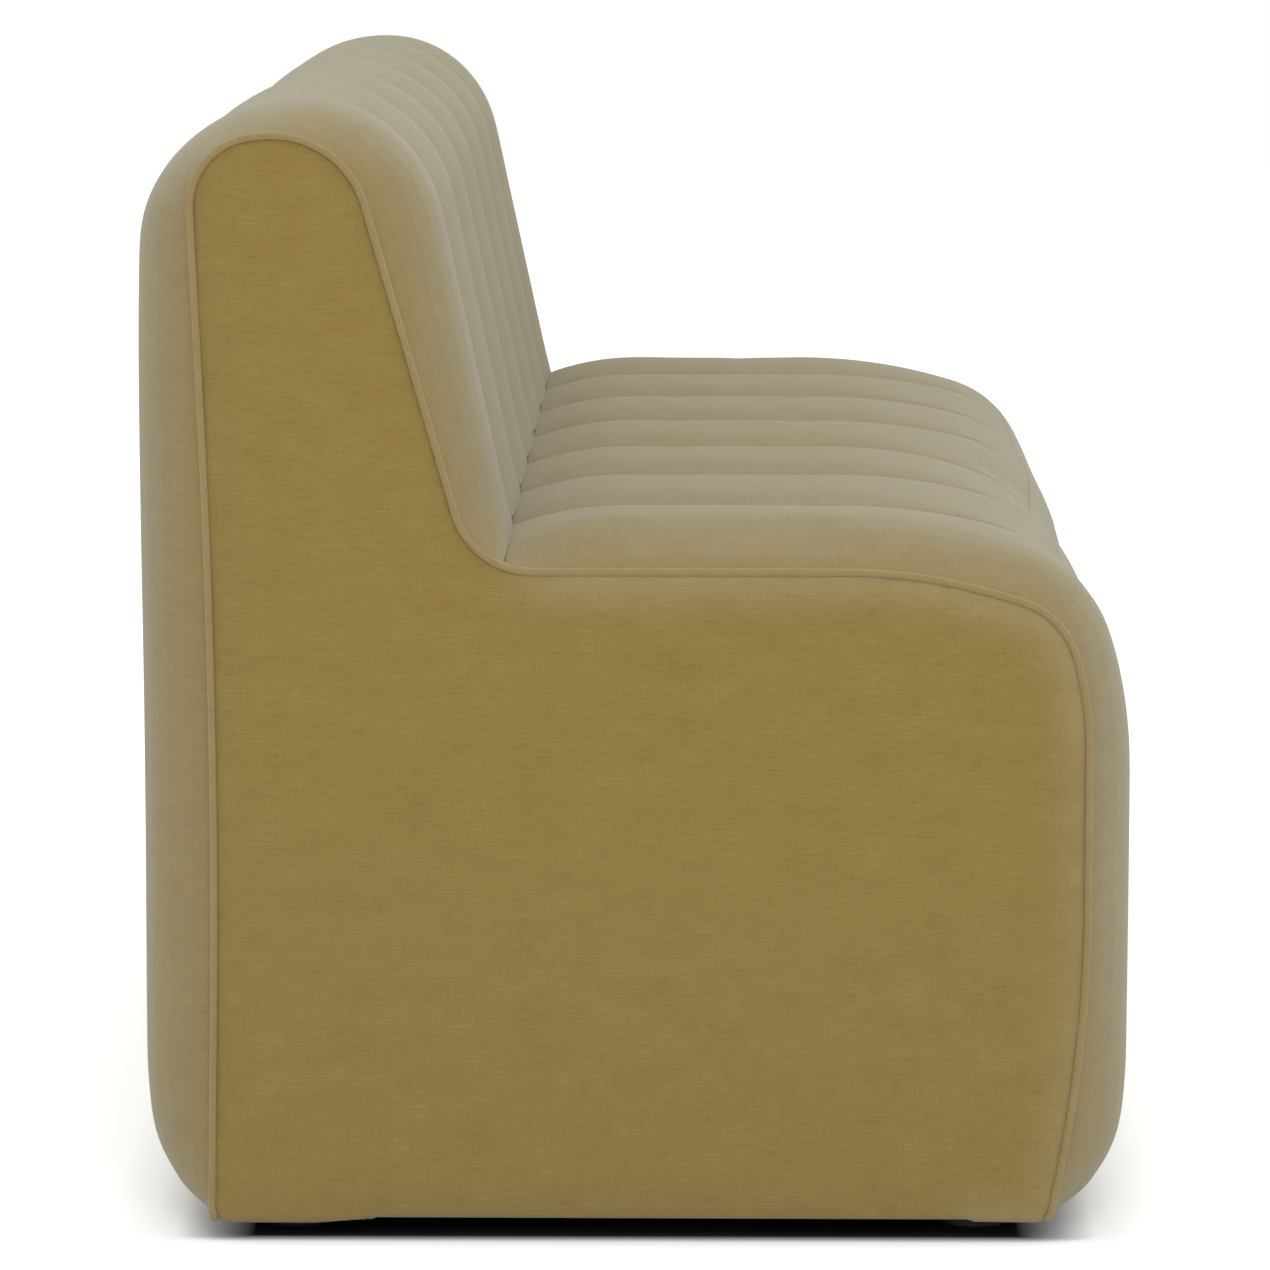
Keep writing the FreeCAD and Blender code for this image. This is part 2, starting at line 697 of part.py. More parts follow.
crease_point = CROWN[5].point
mitre = (down_back.way + up_seat.way).normalize()
BEHIND_TOP = (top_front.start, top_front.way * -1)
BEFORE_TOP = (top_front.start, top_front.way)
ABOVE_CREASE = (crease_point, mitre * -1)
PAST_CREASE = (crease_point, mitre)
ABOVE_NOSE = (nose_lower.start, nose_lower.way * -1)
BELOW_NOSE = (nose_lower.start, nose_lower.way)
ABOVE_BASE = (at(0, base), UP)

core = prism(region(inset(CROWN, value("quilt_thickness"))), -END_BOARD_FACE, END_BOARD_FACE)
foam = core.cut(frame_solid)


def trimmed(solid, *limits):
    for point, normal in limits:
        solid = solid.common(side(point, normal))
    return solid


hold("outside_back_foam", feature("outside_back_foam", trimmed(foam, BEHIND_TOP, ABOVE_NOSE)))
hold("inside_back_foam", feature("inside_back_foam", trimmed(foam, BEFORE_TOP, ABOVE_CREASE, ABOVE_NOSE)))
hold("seat_foam", feature("seat_foam", trimmed(foam, BEFORE_TOP, PAST_CREASE, ABOVE_NOSE)))
hold("front_foam", feature("front_foam", trimmed(foam, BEFORE_TOP, PAST_CREASE, BELOW_NOSE)))


def channel_edges(place):
    """Top of a channelled section: one arc to each sewn channel, and a roll down each end."""
    count = int(value("channel_count"))
    relief = value("channel_relief")
    roll = value("end_roll_radius")
    half = value("bench_length") / 2 / count
    arc = (half * half + relief * relief) / (2 * relief)
    crown = half * (count - 1)
    roll_x = END_FACE - roll
    roll_low = math.sqrt((arc - roll) ** 2 - (roll_x - crown) ** 2) - arc
    lean = math.atan2(roll_x - crown, roll_low + arc)
    meet = (crown + arc * math.sin(lean), arc * math.cos(lean) - arc)
    halfway = math.pi / 4 + lean / 2
    bulge = (roll_x + roll * math.sin(halfway), roll_low + roll * math.cos(halfway))
    between = lambda x: arc - math.sqrt(arc * arc - (x - crown) ** 2)
    last = ((crown - half + meet[0]) / 2, -between((crown - half + meet[0]) / 2))
    corners = [(END_FACE, roll_low), bulge, meet, last]
    points = [(-x, height) for x, height in corners]
    for i in range(1, count - 1):
        valley = (2 * i - count) * half
        points += [(valley, -relief), (valley + half, 0.0)]
    points += [((count - 2) * half, -relief)] + corners[::-1]
    return arcs(place, points), roll_low


def plain_edges(place):
    """Top of a plain section: flat, with a roll down each end."""
    roll = value("end_roll_radius")
    flat = END_FACE - roll
    bulge = (flat + roll * math.sin(math.pi / 4), roll * math.cos(math.pi / 4) - roll)
    left = [(-END_FACE, -roll), (-bulge[0], bulge[1]), (-flat, 0.0)]
    right = [(-x, height) for x, height in left[::-1]]
    flat_edge = Part.makeLine(place(*left[2]), place(*right[0]))
    return arcs(place, left) + [flat_edge] + arcs(place, right), -roll


def arcs(place, points):
    """Arcs that each run from one point over the next to the one after it."""
    return [Part.Arc(place(*points[i]), place(*points[i + 1]), place(*points[i + 2])).toShape()
            for i in range(0, len(points) - 2, 2)]


def swept(run, top_edges):
    """One run of a cover: its section drawn out along a straight run or turned about an arc's centre."""
    outward = run.way.cross(LONG)
    place = lambda x, height: run.start + LONG * x + outward * height
    deep = value("band_depth")
    if run.centre:
        deep = min(deep, ARC_SHARE * (run.start - run.centre).Length)
    edges, low = top_edges(place)
    foot = [place(END_FACE, low), place(END_FACE, -deep), place(-END_FACE, -deep), place(-END_FACE, low)]
    lines = [Part.makeLine(a, b) for a, b in zip(foot, foot[1:])]
    face = Part.Face(Part.Wire(edges + lines))
    if run.centre:
        return face.revolve(run.centre, LONG, run.turn)
    return face.extrude(run.end - run.start)


past_end = value("bench_length") / 2
end_stacks = [prism(region(PANEL), *sorted((end * END_BOARD_FACE, end * past_end))) for end in (-1, 1)]


def piping_shape(end, clearance=0.0):
    path = Part.Wire([edge(run) for run in trace(PANEL)])
    path.translate(LONG * end * END_FACE)
    begin = trace(PANEL)[0]
    radius = value("piping_diameter") / 2 + clearance
    ring = Part.makeCircle(radius, begin.start + LONG * end * END_FACE, begin.way)
    return path.makePipeShell([Part.Wire(ring)], True, False)


grooves = []
for label, end in (("piping_right", -1), ("piping_left", 1)):
    hold(label, feature(label, piping_shape(end)))
    grooves.append(feature(label + "_groove", piping_shape(end, value("piping_clearance"))))


def tuck_shape(face):
    """The cover's edge folded under a base rail."""
    inner = value("rail_back")
    wide = front_plane - value("hem_tuck") + value("tuck_thickness") - inner
    rear_y = -face * inner if face < 0 else -face * inner - wide
    return Part.makeBox(2 * END_BOARD_INNER, wide, value("tuck_thickness"), Vector(-END_BOARD_INNER, rear_y, DUST_TOP))


def cover(label, runs, top_edges, limits, folded=None):
    solids = [swept(run, top_edges) for run in runs]
    whole = trimmed(solids[0].multiFuse(solids[1:]), *limits)
    whole = whole.cut([core, frame_solid] + end_stacks)
    if folded:
        whole = whole.fuse(tuck_shape(folded))
    blank = feature(label + "_blank", whole.removeSplitter())
    tools = grooves + [staples] if folded else grooves
    hold(label, cut(label, blank, *tools))


cover("outside_back_cover", RUNS[:TOP_FRONT - 1] + [top_rear], plain_edges, (ABOVE_BASE,), folded=-1)
cover("inside_back_cover", [top_front, RUNS[TOP_FRONT], down_back], channel_edges, (ABOVE_CREASE,))
cover("seat_cover", [up_seat] + RUNS[DIP:NOSE] + [nose_upper], channel_edges, (PAST_CREASE,))
cover("front_cover", [nose_lower] + RUNS[NOSE + 1:], plain_edges, (ABOVE_BASE,), folded=1)

for label, end, groove in (("right", -1, grooves[0]), ("left", 1, grooves[1])):
    pad = prism(region(PANEL), *sorted((end * END_BOARD_FACE, end * END_PAD_FACE)))
    pad = pad.common(side(at(0, FRAME_BOTTOM), UP))
    hold("end_pad_" + label, cut("end_pad_" + label, feature("end_pad_blank", pad), groove))
    sheet_solid = prism(region(PANEL), *sorted((end * END_PAD_FACE, end * END_FACE)))
    sheet_solid = sheet_solid.common(side(at(0, DUST_TOP), UP))
    fold_x = min(end * END_BOARD_INNER, end * END_FACE)
    inner = value("rail_back")
    fold = Part.makeBox(END_FACE - END_BOARD_INNER, 2 * inner, value("tuck_thickness"), Vector(fold_x, -inner, DUST_TOP))
    blank = feature("end_cover_blank", sheet_solid.fuse(fold).removeSplitter())
    hold("end_cover_" + label, cut("end_cover_" + label, blank, groove, staples))

dust = box("dust_cover_blank", "-end_board_face", "end_board_face", "hem_tuck - front_plane",
           "front_plane - hem_tuck", "foot_height", "dust_cover_thickness")
hold("dust_cover", cut("dust_cover", dust, foot_screws, staples))


# Glides: a turned profile with a recess for the screw's head.

FOOT_PROFILE = (
    ("screw_diameter / 2", "foot_recess_depth"),
    ("screw_diameter / 2", "foot_height"),
    ("foot_diameter / 2", "foot_height"),
    ("foot_diameter / 2", "foot_bevel"),
    ("foot_diameter / 2 - foot_bevel", None),
    ("foot_recess_diameter / 2", None),
    ("foot_recess_diameter / 2", "foot_recess_depth"),
)


def foot_body(label, end, face):
    body = doc.addObject("PartDesign::Body", label)
    sketch = body.newObject("Sketcher::SketchObject", label + "_profile")
    plane = [item for item in body.Origin.OriginFeatures if item.Role == "XZ_Plane"][0]
    sketch.AttachmentSupport = [(plane, "")]
    sketch.MapMode = "FlatFace"
    points = [Vector(value(r), value(z) if z else 0.0, 0) for r, z in FOOT_PROFILE]
    count = len(points)
    for i in range(count):
        sketch.addGeometry(Part.LineSegment(points[i], points[(i + 1) % count]))
    for i in range(count):
        sketch.addConstraint(Sketcher.Constraint("Coincident", i, 2, (i + 1) % count, 1))
    for i, (r, z) in enumerate(FOOT_PROFILE):
        index = sketch.addConstraint(Sketcher.Constraint("DistanceX", -1, 1, i, 1, points[i].x))
        sketch.setExpression("Constraints[%d]" % index, bound(r))
        if z is None:
            sketch.addConstraint(Sketcher.Constraint("PointOnObject", i, 1, -1))
            continue
        index = sketch.addConstraint(Sketcher.Constraint("DistanceY", -1, 1, i, 1, points[i].y))
        sketch.setExpression("Constraints[%d]" % index, bound(z))
    turned = body.newObject("PartDesign::Revolution", label + "_turned")
    turned.Profile = sketch
    turned.ReferenceAxis = (sketch, ["V_Axis"])
    turned.Angle = 360
    body.setExpression("Placement.Base.x", bound("%d * foot_x" % end))
    body.setExpression("Placement.Base.y", bound("%d * foot_depth" % -face))
    return body


for end, face in CORNERS:
    label = "foot_%s_%s" % ("rear" if face < 0 else "front", "right" if end < 0 else "left")
    hold(label, foot_body(label, end, face))

doc.recompute()
broken = [thing.Label for thing in doc.Objects if {"Invalid", "Error"} & set(thing.State)]
broken += [label for label, thing in PARTS.items() if thing.Shape.isNull() or not thing.Shape.isValid()]
if broken:
    raise RuntimeError("these did not build: " + ", ".join(broken))

os.makedirs("parts", exist_ok=True)
for label, thing in PARTS.items():
    thing.Shape.exportStep("parts/%s.step" % label)
    print(label, len(thing.Shape.Solids), round(thing.Shape.Volume / 1000, 1), "cm3")
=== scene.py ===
import json
import math

import bmesh
import bpy
from mathutils import Matrix, Vector, noise
from mathutils.geometry import intersect_point_line


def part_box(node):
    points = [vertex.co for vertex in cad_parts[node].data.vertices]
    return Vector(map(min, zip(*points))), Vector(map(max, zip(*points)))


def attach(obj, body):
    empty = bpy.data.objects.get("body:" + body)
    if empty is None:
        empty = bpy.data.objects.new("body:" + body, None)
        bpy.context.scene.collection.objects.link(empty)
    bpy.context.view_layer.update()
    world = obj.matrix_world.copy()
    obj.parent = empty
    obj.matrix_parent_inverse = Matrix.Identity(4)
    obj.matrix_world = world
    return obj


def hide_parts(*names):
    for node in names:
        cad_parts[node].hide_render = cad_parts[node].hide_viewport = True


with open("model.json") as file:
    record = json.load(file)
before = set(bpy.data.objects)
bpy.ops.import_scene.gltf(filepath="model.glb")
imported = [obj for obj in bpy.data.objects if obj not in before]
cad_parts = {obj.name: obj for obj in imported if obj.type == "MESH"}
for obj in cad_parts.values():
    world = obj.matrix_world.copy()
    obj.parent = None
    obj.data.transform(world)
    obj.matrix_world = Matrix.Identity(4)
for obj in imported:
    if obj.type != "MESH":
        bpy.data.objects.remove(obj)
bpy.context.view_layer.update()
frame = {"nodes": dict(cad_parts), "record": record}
scene = bpy.context.scene
print("frame loaded,", len(frame["nodes"]), "nodes")


# small helpers for node materials
def startFinish(name, roughness, **sockets):
    material = bpy.data.materials.new(name)
    material.use_nodes = True
    tree = material.node_tree
    shader = tree.nodes["Principled BSDF"]
    shader.inputs["Roughness"].default_value = roughness
    for socket, value in sockets.items():
        shader.inputs[socket.replace("_", " ")].default_value = value
    return material, tree, shader


def addNode(tree, kind, inputs=None, **settings):
    node = tree.nodes.new(kind)
    for key, value in settings.items():
        setattr(node, key, value)
    for key, value in (inputs or {}).items():
        if isinstance(value, bpy.types.NodeSocket):
            tree.links.new(value, node.inputs[key])
        else:
            node.inputs[key].default_value = value
    return node


def objectPlace(tree):
    return addNode(tree, "ShaderNodeTexCoord").outputs["Object"]


def clothPlace(tree):
    return addNode(tree, "ShaderNodeAttribute", attribute_name="clothPlace").outputs["Vector"]


def grain(tree, place, stretch, detail=3.0, roughness=0.55, distortion=0.0):
    moved = addNode(tree, "ShaderNodeMapping", {"Vector": place, "Scale": stretch})
    made = addNode(tree, "ShaderNodeTexNoise", {
        "Vector": moved.outputs["Vector"], "Scale": 1.0, "Detail": detail,
        "Roughness": roughness, "Distortion": distortion})
    return made.outputs["Fac"]


def bands(tree, place, stretch, direction, distortion=0.0, detail=0.0):
    moved = addNode(tree, "ShaderNodeMapping", {"Vector": place, "Scale": stretch})
    made = addNode(tree, "ShaderNodeTexWave", {
        "Vector": moved.outputs["Vector"], "Scale": 1.0, "Distortion": distortion, "Detail": detail},
        wave_type="BANDS", bands_direction=direction, wave_profile="SIN")
    return made.outputs["Fac"]


def sums(tree, operation, first, second):
    return addNode(tree, "ShaderNodeMath", {0: first, 1: second}, operation=operation).outputs["Value"]


def mixed(tree, first, second, shares):
    parts = [sums(tree, "MULTIPLY", fac, share) for fac, share in zip((first, second), shares)]
    return sums(tree, "ADD", *parts)


def shades(tree, fac, stops):
    ramp = addNode(tree, "ShaderNodeValToRGB", {"Fac": fac})
    elements = ramp.color_ramp.elements
    while len(elements) < len(stops):
        elements.new(0.5)
    for element, (place, colour) in zip(elements, stops):
        element.position = place
        element.color = (*colour, 1.0)
    return ramp.outputs["Color"]


def relief(tree, shader, height, strength, distance):
    bump = addNode(tree, "ShaderNodeBump", {"Strength": strength, "Distance": distance, "Height": height})
    tree.links.new(bump.outputs["Normal"], shader.inputs["Normal"])


def spread(tree, fac, low, high):
    made = addNode(tree, "ShaderNodeMapRange", {"Value": fac, "To Min": low, "To Max": high})
    return made.outputs["Result"]


waveRepeat = 0.314  # a wave texture of scale 1 repeats after this length

# ochre chenille: short slubs across and along the cloth, a fine weave, and a painted sheen that adds a pale
# grey to the colour where a mesh attribute asks for it
chenille = {
    "dark": (0.236, 0.146, 0.016),
    "middle": (0.265, 0.170, 0.026),
    "light": (0.293, 0.197, 0.041),
    "tones": [(0.37, "dark"), (0.47, "middle"), (0.53, "middle"), (0.63, "light")],
    # the painted sheen's pale grey, added to the cloth colour as a painted highlight
    "bloom": (0.092, 0.096, 0.096, 1.0),
    "slubAcross": (70.0, 560.0, 1.0),
    "slubAlong": (420.0, 60.0, 1.0),
    "slubGrain": (2.5, 0.5),
    "patches": (22.0, 48.0, 1.0),
    "patchGrain": 2.0,
    "acrossShare": 0.50,
    "alongShare": 0.20,
    "patchShare": 0.30,
    "weavePitch": 0.0010,
    "weaveWobble": (1.2, 1.0),
    "relief": (0.15, 0.0005),
    "roughness": (0.82, 0.97),
    "gloss": 0.18,
    "sheenRoughness": 0.66,
    "sheenTint": (0.82, 0.95, 0.95, 1.0),
}


def chenilleFinish(name, lift, sheen):
    material, tree, shader = startFinish(
        name, 0.9, Specular_IOR_Level=chenille["gloss"], Sheen_Weight=sheen,
        Sheen_Roughness=chenille["sheenRoughness"], Sheen_Tint=chenille["sheenTint"])
    place = clothPlace(tree)
    across = grain(tree, place, chenille["slubAcross"], *chenille["slubGrain"])
    along = grain(tree, place, chenille["slubAlong"], *chenille["slubGrain"])
    patches = grain(tree, place, chenille["patches"], chenille["patchGrain"])
    slubs = sums(tree, "MULTIPLY_ADD", across, chenille["acrossShare"])
    tree.links.new(sums(tree, "MULTIPLY", along, chenille["alongShare"]), slubs.node.inputs[2])
    shade = sums(tree, "MULTIPLY_ADD", patches, chenille["patchShare"])
    tree.links.new(slubs, shade.node.inputs[2])
    stops = [(where, [lift * c for c in chenille[tone]]) for where, tone in chenille["tones"]]
    yarn = shades(tree, shade, stops)
    # painted sheen: the pale grey is added to the yarn colour by the mesh's attribute
    paintedSheenShare = addNode(tree, "ShaderNodeAttribute", attribute_name="bloom").outputs["Fac"]
    tone = addNode(tree, "ShaderNodeMixRGB", {
        "Fac": paintedSheenShare, "Color1": yarn, "Color2": chenille["bloom"]}, blend_type="ADD")
    tree.links.new(tone.outputs["Color"], shader.inputs["Base Color"])
    tree.links.new(spread(tree, across, *chenille["roughness"]), shader.inputs["Roughness"])
    count = waveRepeat / chenille["weavePitch"]
    weft = bands(tree, place, (count, count, 1.0), "Y", *chenille["weaveWobble"])
    warp = bands(tree, place, (count, count, 1.0), "X", *chenille["weaveWobble"])
    cloth = sums(tree, "ADD", sums(tree, "MULTIPLY", weft, warp), slubs)
    relief(tree, shader, cloth, *chenille["relief"])
    return material


# planed softwood of the rails and blocks
pine = {
    "rings": (1.2, 26.0, 26.0),
    "ringWobble": (5.0, 2.0),
    "fibre": (8.0, 420.0, 420.0),
    "shares": (0.55, 0.45),
    "tones": [(0.25, (0.60, 0.42, 0.24)), (0.5, (0.72, 0.54, 0.34)), (0.8, (0.80, 0.64, 0.43))],
    "roughness": (0.5, 0.72),
    "relief": (0.25, 0.0003),
}


def pineFinish():
    material, tree, shader = startFinish("pinePlaned", 0.6)
    place = objectPlace(tree)
    rings = bands(tree, place, pine["rings"], "DIAGONAL", *pine["ringWobble"])
    fibre = grain(tree, place, pine["fibre"])
    shade = mixed(tree, rings, fibre, pine["shares"])
    tree.links.new(shades(tree, shade, pine["tones"]), shader.inputs["Base Color"])
    tree.links.new(spread(tree, fibre, *pine["roughness"]), shader.inputs["Roughness"])
    relief(tree, shader, fibre, *pine["relief"])
    return material


# sanded plywood of the ends and the rib
plywood = {
    "plies": (105.0, 0.0, 0.0),
    "figure": (1.0, 60.0, 7.0),
    "figureGrain": (4.0, 0.6, 0.6),
    "shares": (0.25, 0.75),
    "tones": [(0.25, (0.50, 0.36, 0.21)), (0.55, (0.66, 0.50, 0.32)), (0.8, (0.74, 0.59, 0.40))],
    "relief": (0.2, 0.0003),
}


def plywoodFinish():
    material, tree, shader = startFinish("plywoodSanded", 0.62)
    place = objectPlace(tree)
    plies = bands(tree, place, plywood["plies"], "X")
    figure = grain(tree, place, plywood["figure"], *plywood["figureGrain"])
    shade = mixed(tree, plies, figure, plywood["shares"])
    tree.links.new(shades(tree, shade, plywood["tones"]), shader.inputs["Base Color"])
    relief(tree, shader, figure, *plywood["relief"])
    return material


# brown hardboard behind the front and the back
hardboard = {
    "flecks": (260.0, 260.0, 260.0),
    "fleckGrain": (5.0, 0.7),
    "tones": [(0.3, (0.24, 0.15, 0.08)), (0.55, (0.36, 0.24, 0.14)), (0.75, (0.45, 0.32, 0.20))],
    "relief": (0.3, 0.0003),
}


def hardboardFinish():
    material, tree, shader = startFinish("hardboardBrown", 0.7)
    flecks = grain(tree, objectPlace(tree), hardboard["flecks"], *hardboard["fleckGrain"])
    tree.links.new(shades(tree, flecks, hardboard["tones"]), shader.inputs["Base Color"])
    relief(tree, shader, flecks, *hardboard["relief"])
    return material


# springs, clips, screws and staples
steel = {
    "marks": (340.0, 340.0, 340.0),
    "markGrain": 4.0,
    "dull": 0.75,
    "tones": (0.3, 0.7),
    "polish": (-0.08, 0.12),
}


def steelFinish(name, colour, roughness):
    material, tree, shader = startFinish(name, roughness, Metallic=1.0)
    marks = grain(tree, objectPlace(tree), steel["marks"], steel["markGrain"])
    dull = [steel["dull"] * c for c in colour]
    stops = list(zip(steel["tones"], (dull, colour)))
    tree.links.new(shades(tree, marks, stops), shader.inputs["Base Color"])
    smoother, rougher = (roughness + change for change in steel["polish"])
    tree.links.new(spread(tree, marks, smoother, rougher), shader.inputs["Roughness"])
    return material


# black moulded plastic of the glides
glide = {
    "pits": (900.0, 900.0, 900.0),
    "pitGrain": 2.0,
    "tones": [(0.35, (0.012, 0.012, 0.012)), (0.7, (0.026, 0.026, 0.027))],
    "roughness": (0.42, 0.6),
    "relief": (0.25, 0.0002),
}


def glideFinish():
    material, tree, shader = startFinish("glideMoulded", 0.5, Specular_IOR_Level=0.4)
    pits = grain(tree, objectPlace(tree), glide["pits"], glide["pitGrain"])
    tree.links.new(shades(tree, pits, glide["tones"]), shader.inputs["Base Color"])
    tree.links.new(spread(tree, pits, *glide["roughness"]), shader.inputs["Roughness"])
    relief(tree, shader, pits, *glide["relief"])
    return material


# wadding, felt and the black cloth: matted fibres, from dark to light
matted = {"grain": (5.0, 0.7, 0.4), "tones": (0.3, 0.7), "strength": 0.5}


def fibreFinish(name, dark, light, size, depth):
    material, tree, shader = startFinish(name, 0.95, Specular_IOR_Level=0.15)
    fibres = grain(tree, objectPlace(tree), (size, size, size), *matted["grain"])
    stops = list(zip(matted["tones"], (dark, light)))
    tree.links.new(shades(tree, fibres, stops), shader.inputs["Base Color"])
    relief(tree, shader, fibres, matted["strength"], depth)
    return material


# open-cell foam of the cushions
foam = {
    "cells": 480.0,
    "tones": [(0.1, (0.66, 0.60, 0.42)), (0.6, (0.86, 0.82, 0.66))],
    "relief": (0.5, 0.0008),
}


def foamFinish():
    material, tree, shader = startFinish("foamOpenCell", 0.95, Specular_IOR_Level=0.1)
    sponge = addNode(tree, "ShaderNodeTexVoronoi", {"Vector": objectPlace(tree), "Scale": foam["cells"]})
    cells = sponge.outputs["Distance"]
    tree.links.new(shades(tree, cells, foam["tones"]), shader.inputs["Base Color"])
    relief(tree, shader, cells, *foam["relief"])
    return material


# woven elastic straps behind the back cushion
webbing = {
    "ribs": (150.0, 150.0, 150.0),
    "cords": (110.0, 110.0, 110.0),
    "tones": [(0.2, (0.05, 0.045, 0.04)), (0.8, (0.14, 0.125, 0.11))],
    "relief": (0.5, 0.0006),
}


def webbingFinish():
    material, tree, shader = startFinish("webbingWoven", 0.85, Specular_IOR_Level=0.2)
    place = objectPlace(tree)
    ribs = bands(tree, place, webbing["ribs"], "Z")
    cords = bands(tree, place, webbing["cords"], "X")
    weave = sums(tree, "MULTIPLY", ribs, cords)
    tree.links.new(shades(tree, weave, webbing["tones"]), shader.inputs["Base Color"])
    relief(tree, shader, weave, *webbing["relief"])
    return material


finishes = {
    "chenille_ochre": chenilleFinish("chenilleOchre", 1.0, 0.45),
    # the piping is the same chenille, its colour lifted 2% as painted light for the sheen turned down on it
    "piping_ochre": chenilleFinish("pipingOchre", 1.02, 0.36),
    "pine": pineFinish(),
    "plywood": plywoodFinish(),
    "hardboard": hardboardFinish(),
    "spring_steel": steelFinish("springSteel", (0.40, 0.40, 0.42), 0.38),
    "zinc_steel": steelFinish("zincSteel", (0.66, 0.66, 0.64), 0.34),
    "glide_plastic": glideFinish(),
    "foam": foamFinish(),
    "wadding": fibreFinish("waddingWhite", (0.78, 0.78, 0.76), (0.90, 0.90, 0.88), 160.0, 0.002),
    "felt": fibreFinish("feltGrey", (0.30, 0.29, 0.28), (0.50, 0.49, 0.48), 320.0, 0.001),
    "webbing": webbingFinish(),
    "dust_cloth": fibreFinish("dustCloth", (0.018, 0.018, 0.019), (0.042, 0.042, 0.042), 700.0, 0.0004),
}
for part in frame["record"]["subparts"]:
    node = frame["nodes"][part["node"]]
    node.data.materials.clear()
    node.data.materials.append(finishes[part["material_slot"]])
print("finishes on the nodes,", len(finishes), "kinds")

arcTurn = math.radians(18)  # the largest turn between two points of an arc


# outlines are drawn as depth towards the front, height and corner radius
def spot(depth, height, x=0.0):
    return Vector((x, -depth, height))


def onlyVerts(geom):
    return [v for v in geom if isinstance(v, bmesh.types.BMVert)]


def runTo(bm, tip, goal, step):
    length = (goal - tip.co).length
    if length < 1e-6:
        return tip
    count = math.ceil(length / step)
    stride = (goal - tip.co) / count
    for _ in range(count):
        tip = bmesh.ops.extrude_vert_indiv(bm, verts=[tip])["verts"][0]
        bmesh.ops.translate(bm, vec=stride, verts=[tip])
    return tip


def drawOutline(bm, corners, step, x=0.0):
    spots = [spot(depth, height, x) for depth, height, radius in corners]
    first = bmesh.ops.create_vert(bm, co=spots[0])["vert"][0]
    tip = first
    for before, here, after, corner in zip(spots, spots[1:], spots[2:], corners[1:]):
        into = (here - before).normalized()
        outOf = (after - here).normalized()
        turn = into.angle(outOf)
        side = 1.0 if into.cross(outOf).x > 0 else -1.0
        radius = corner[2]
        start = here - into * radius * math.tan(turn / 2)
        tip = runTo(bm, tip, start, step)
        if radius > 0:
            centre = start + Vector((side, 0.0, 0.0)).cross(into) * radius
            steps = max(2, math.ceil(radius * turn / step), math.ceil(turn / arcTurn))
            spun = bmesh.ops.spin(bm, geom=[tip], cent=centre, axis=(side, 0.0, 0.0), angle=turn, steps=steps)
            tip = onlyVerts(spun["geom_last"])[0]
    return first, runTo(bm, tip, spots[-1], step)


def walk(first):
    order = [first]
    edge = first.link_edges[0]
    while True:
        order.append(edge.other_vert(order[-1]))
        onward = [e for e in order[-1].link_edges if e is not edge]
        if not onward:
            return order
        edge = onward[0]


def easeIn(share):
    share = min(1.0, max(0.0, share))
    return share * share * (3 - 2 * share)


# every piece is made and finished with these
def newPiece(name, bm, slot):
    mesh = bpy.data.meshes.new(name)
    bm.to_mesh(mesh)
    bm.free()
    mesh.shade_smooth()
    piece = bpy.data.objects.new(name, mesh)
    scene.collection.objects.link(piece)
    mesh.materials.append(finishes[slot])
    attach(piece, "root")
    return piece


def meshAsSeen(piece):
    return bpy.data.meshes.new_from_object(piece.evaluated_get(bpy.context.evaluated_depsgraph_get()))


def voxelRemesh(piece, size, slot):
    voxels = piece.modifiers.new("voxels", "REMESH")
    voxels.mode = "VOXEL"
    voxels.voxel_size = size
    made = meshAsSeen(piece)
    piece.modifiers.clear()
    piece.data = made
    made.shade_smooth()
    made.materials.clear()
    made.materials.append(finishes[slot])


# the cloth's own coordinates, which the weave follows
def layCloth(piece, rule):
    lay = piece.data.attributes.new("clothPlace", "FLOAT_VECTOR", "POINT")
    for vert, item in zip(piece.data.vertices, lay.data):
        item.vector = rule(vert)


# how much painted sheen each vertex gets: a share of pale grey added to the cloth's colour
def paintSheen(piece, rule):
    bloom = piece.data.attributes.new("bloom", "FLOAT", "POINT")
    for vert, item in zip(piece.data.vertices, bloom.data):
        item.value = rule(vert.co)


# the piped line of an end panel, from the rear foot round to the front foot
panelLine = {
    "corners": [
        (-0.190, 0.0150, 0.0),
        (-0.222, 0.0122, 0.030),
        (-0.2965, 0.0122, 0.010),
        (-0.290, 0.3750, 7.0),
        (-0.307, 0.7653, 0.048),
        (-0.2003, 0.7765, 0.066),
        (-0.1127, 0.4710, 0.055),
        (0.200, 0.4710, 0.380),
        (0.2978, 0.4411, 0.058),
        (0.3145, 0.3740, 0.240),
        (0.3145, 0.1300, 1.0),
        (0.2895, 0.0130, 0.009),
        (0.240, 0.0138, 0.0),
    ],
    "step": 0.006,
    "pipedAbove": 0.0155,
}
panelDraft = bmesh.new()
panelFirst = drawOutline(panelDraft, panelLine["corners"], panelLine["step"])[0]
panelSpots = [v.co.copy() for v in walk(panelFirst)]
pipedSpots = [s for s in panelSpots if s.z > panelLine["pipedAbove"]]
panelDraft.free()


def nearestOnPanel(point):
    flat = Vector((0.0, point.y, point.z))
    best = None
    for a, b in zip(panelSpots, panelSpots[1:]):
        near, share = intersect_point_line(flat, a, b)
        near = a if share < 0 else b if share > 1 else near
        if best is None or (near - flat).length < (best - flat).length:
            best = near
    return best


def awayFromPiping(point):
    return (nearestOnPanel(point) - Vector((0, point.y, point.z))).length


# cloth with air behind it: seams stay where they are and the cloth between them fills out
fillFrames = 20
fillCloth = {
    "quality": 6,
    "mass": 0.25,
    "tension_stiffness": 18,
    "compression_stiffness": 18,
    "shear_stiffness": 6,
    "bending_stiffness": 0.6,
    "shrink_min": -0.005,
    "use_pressure": True,
    "vertex_group_mass": "held",
}


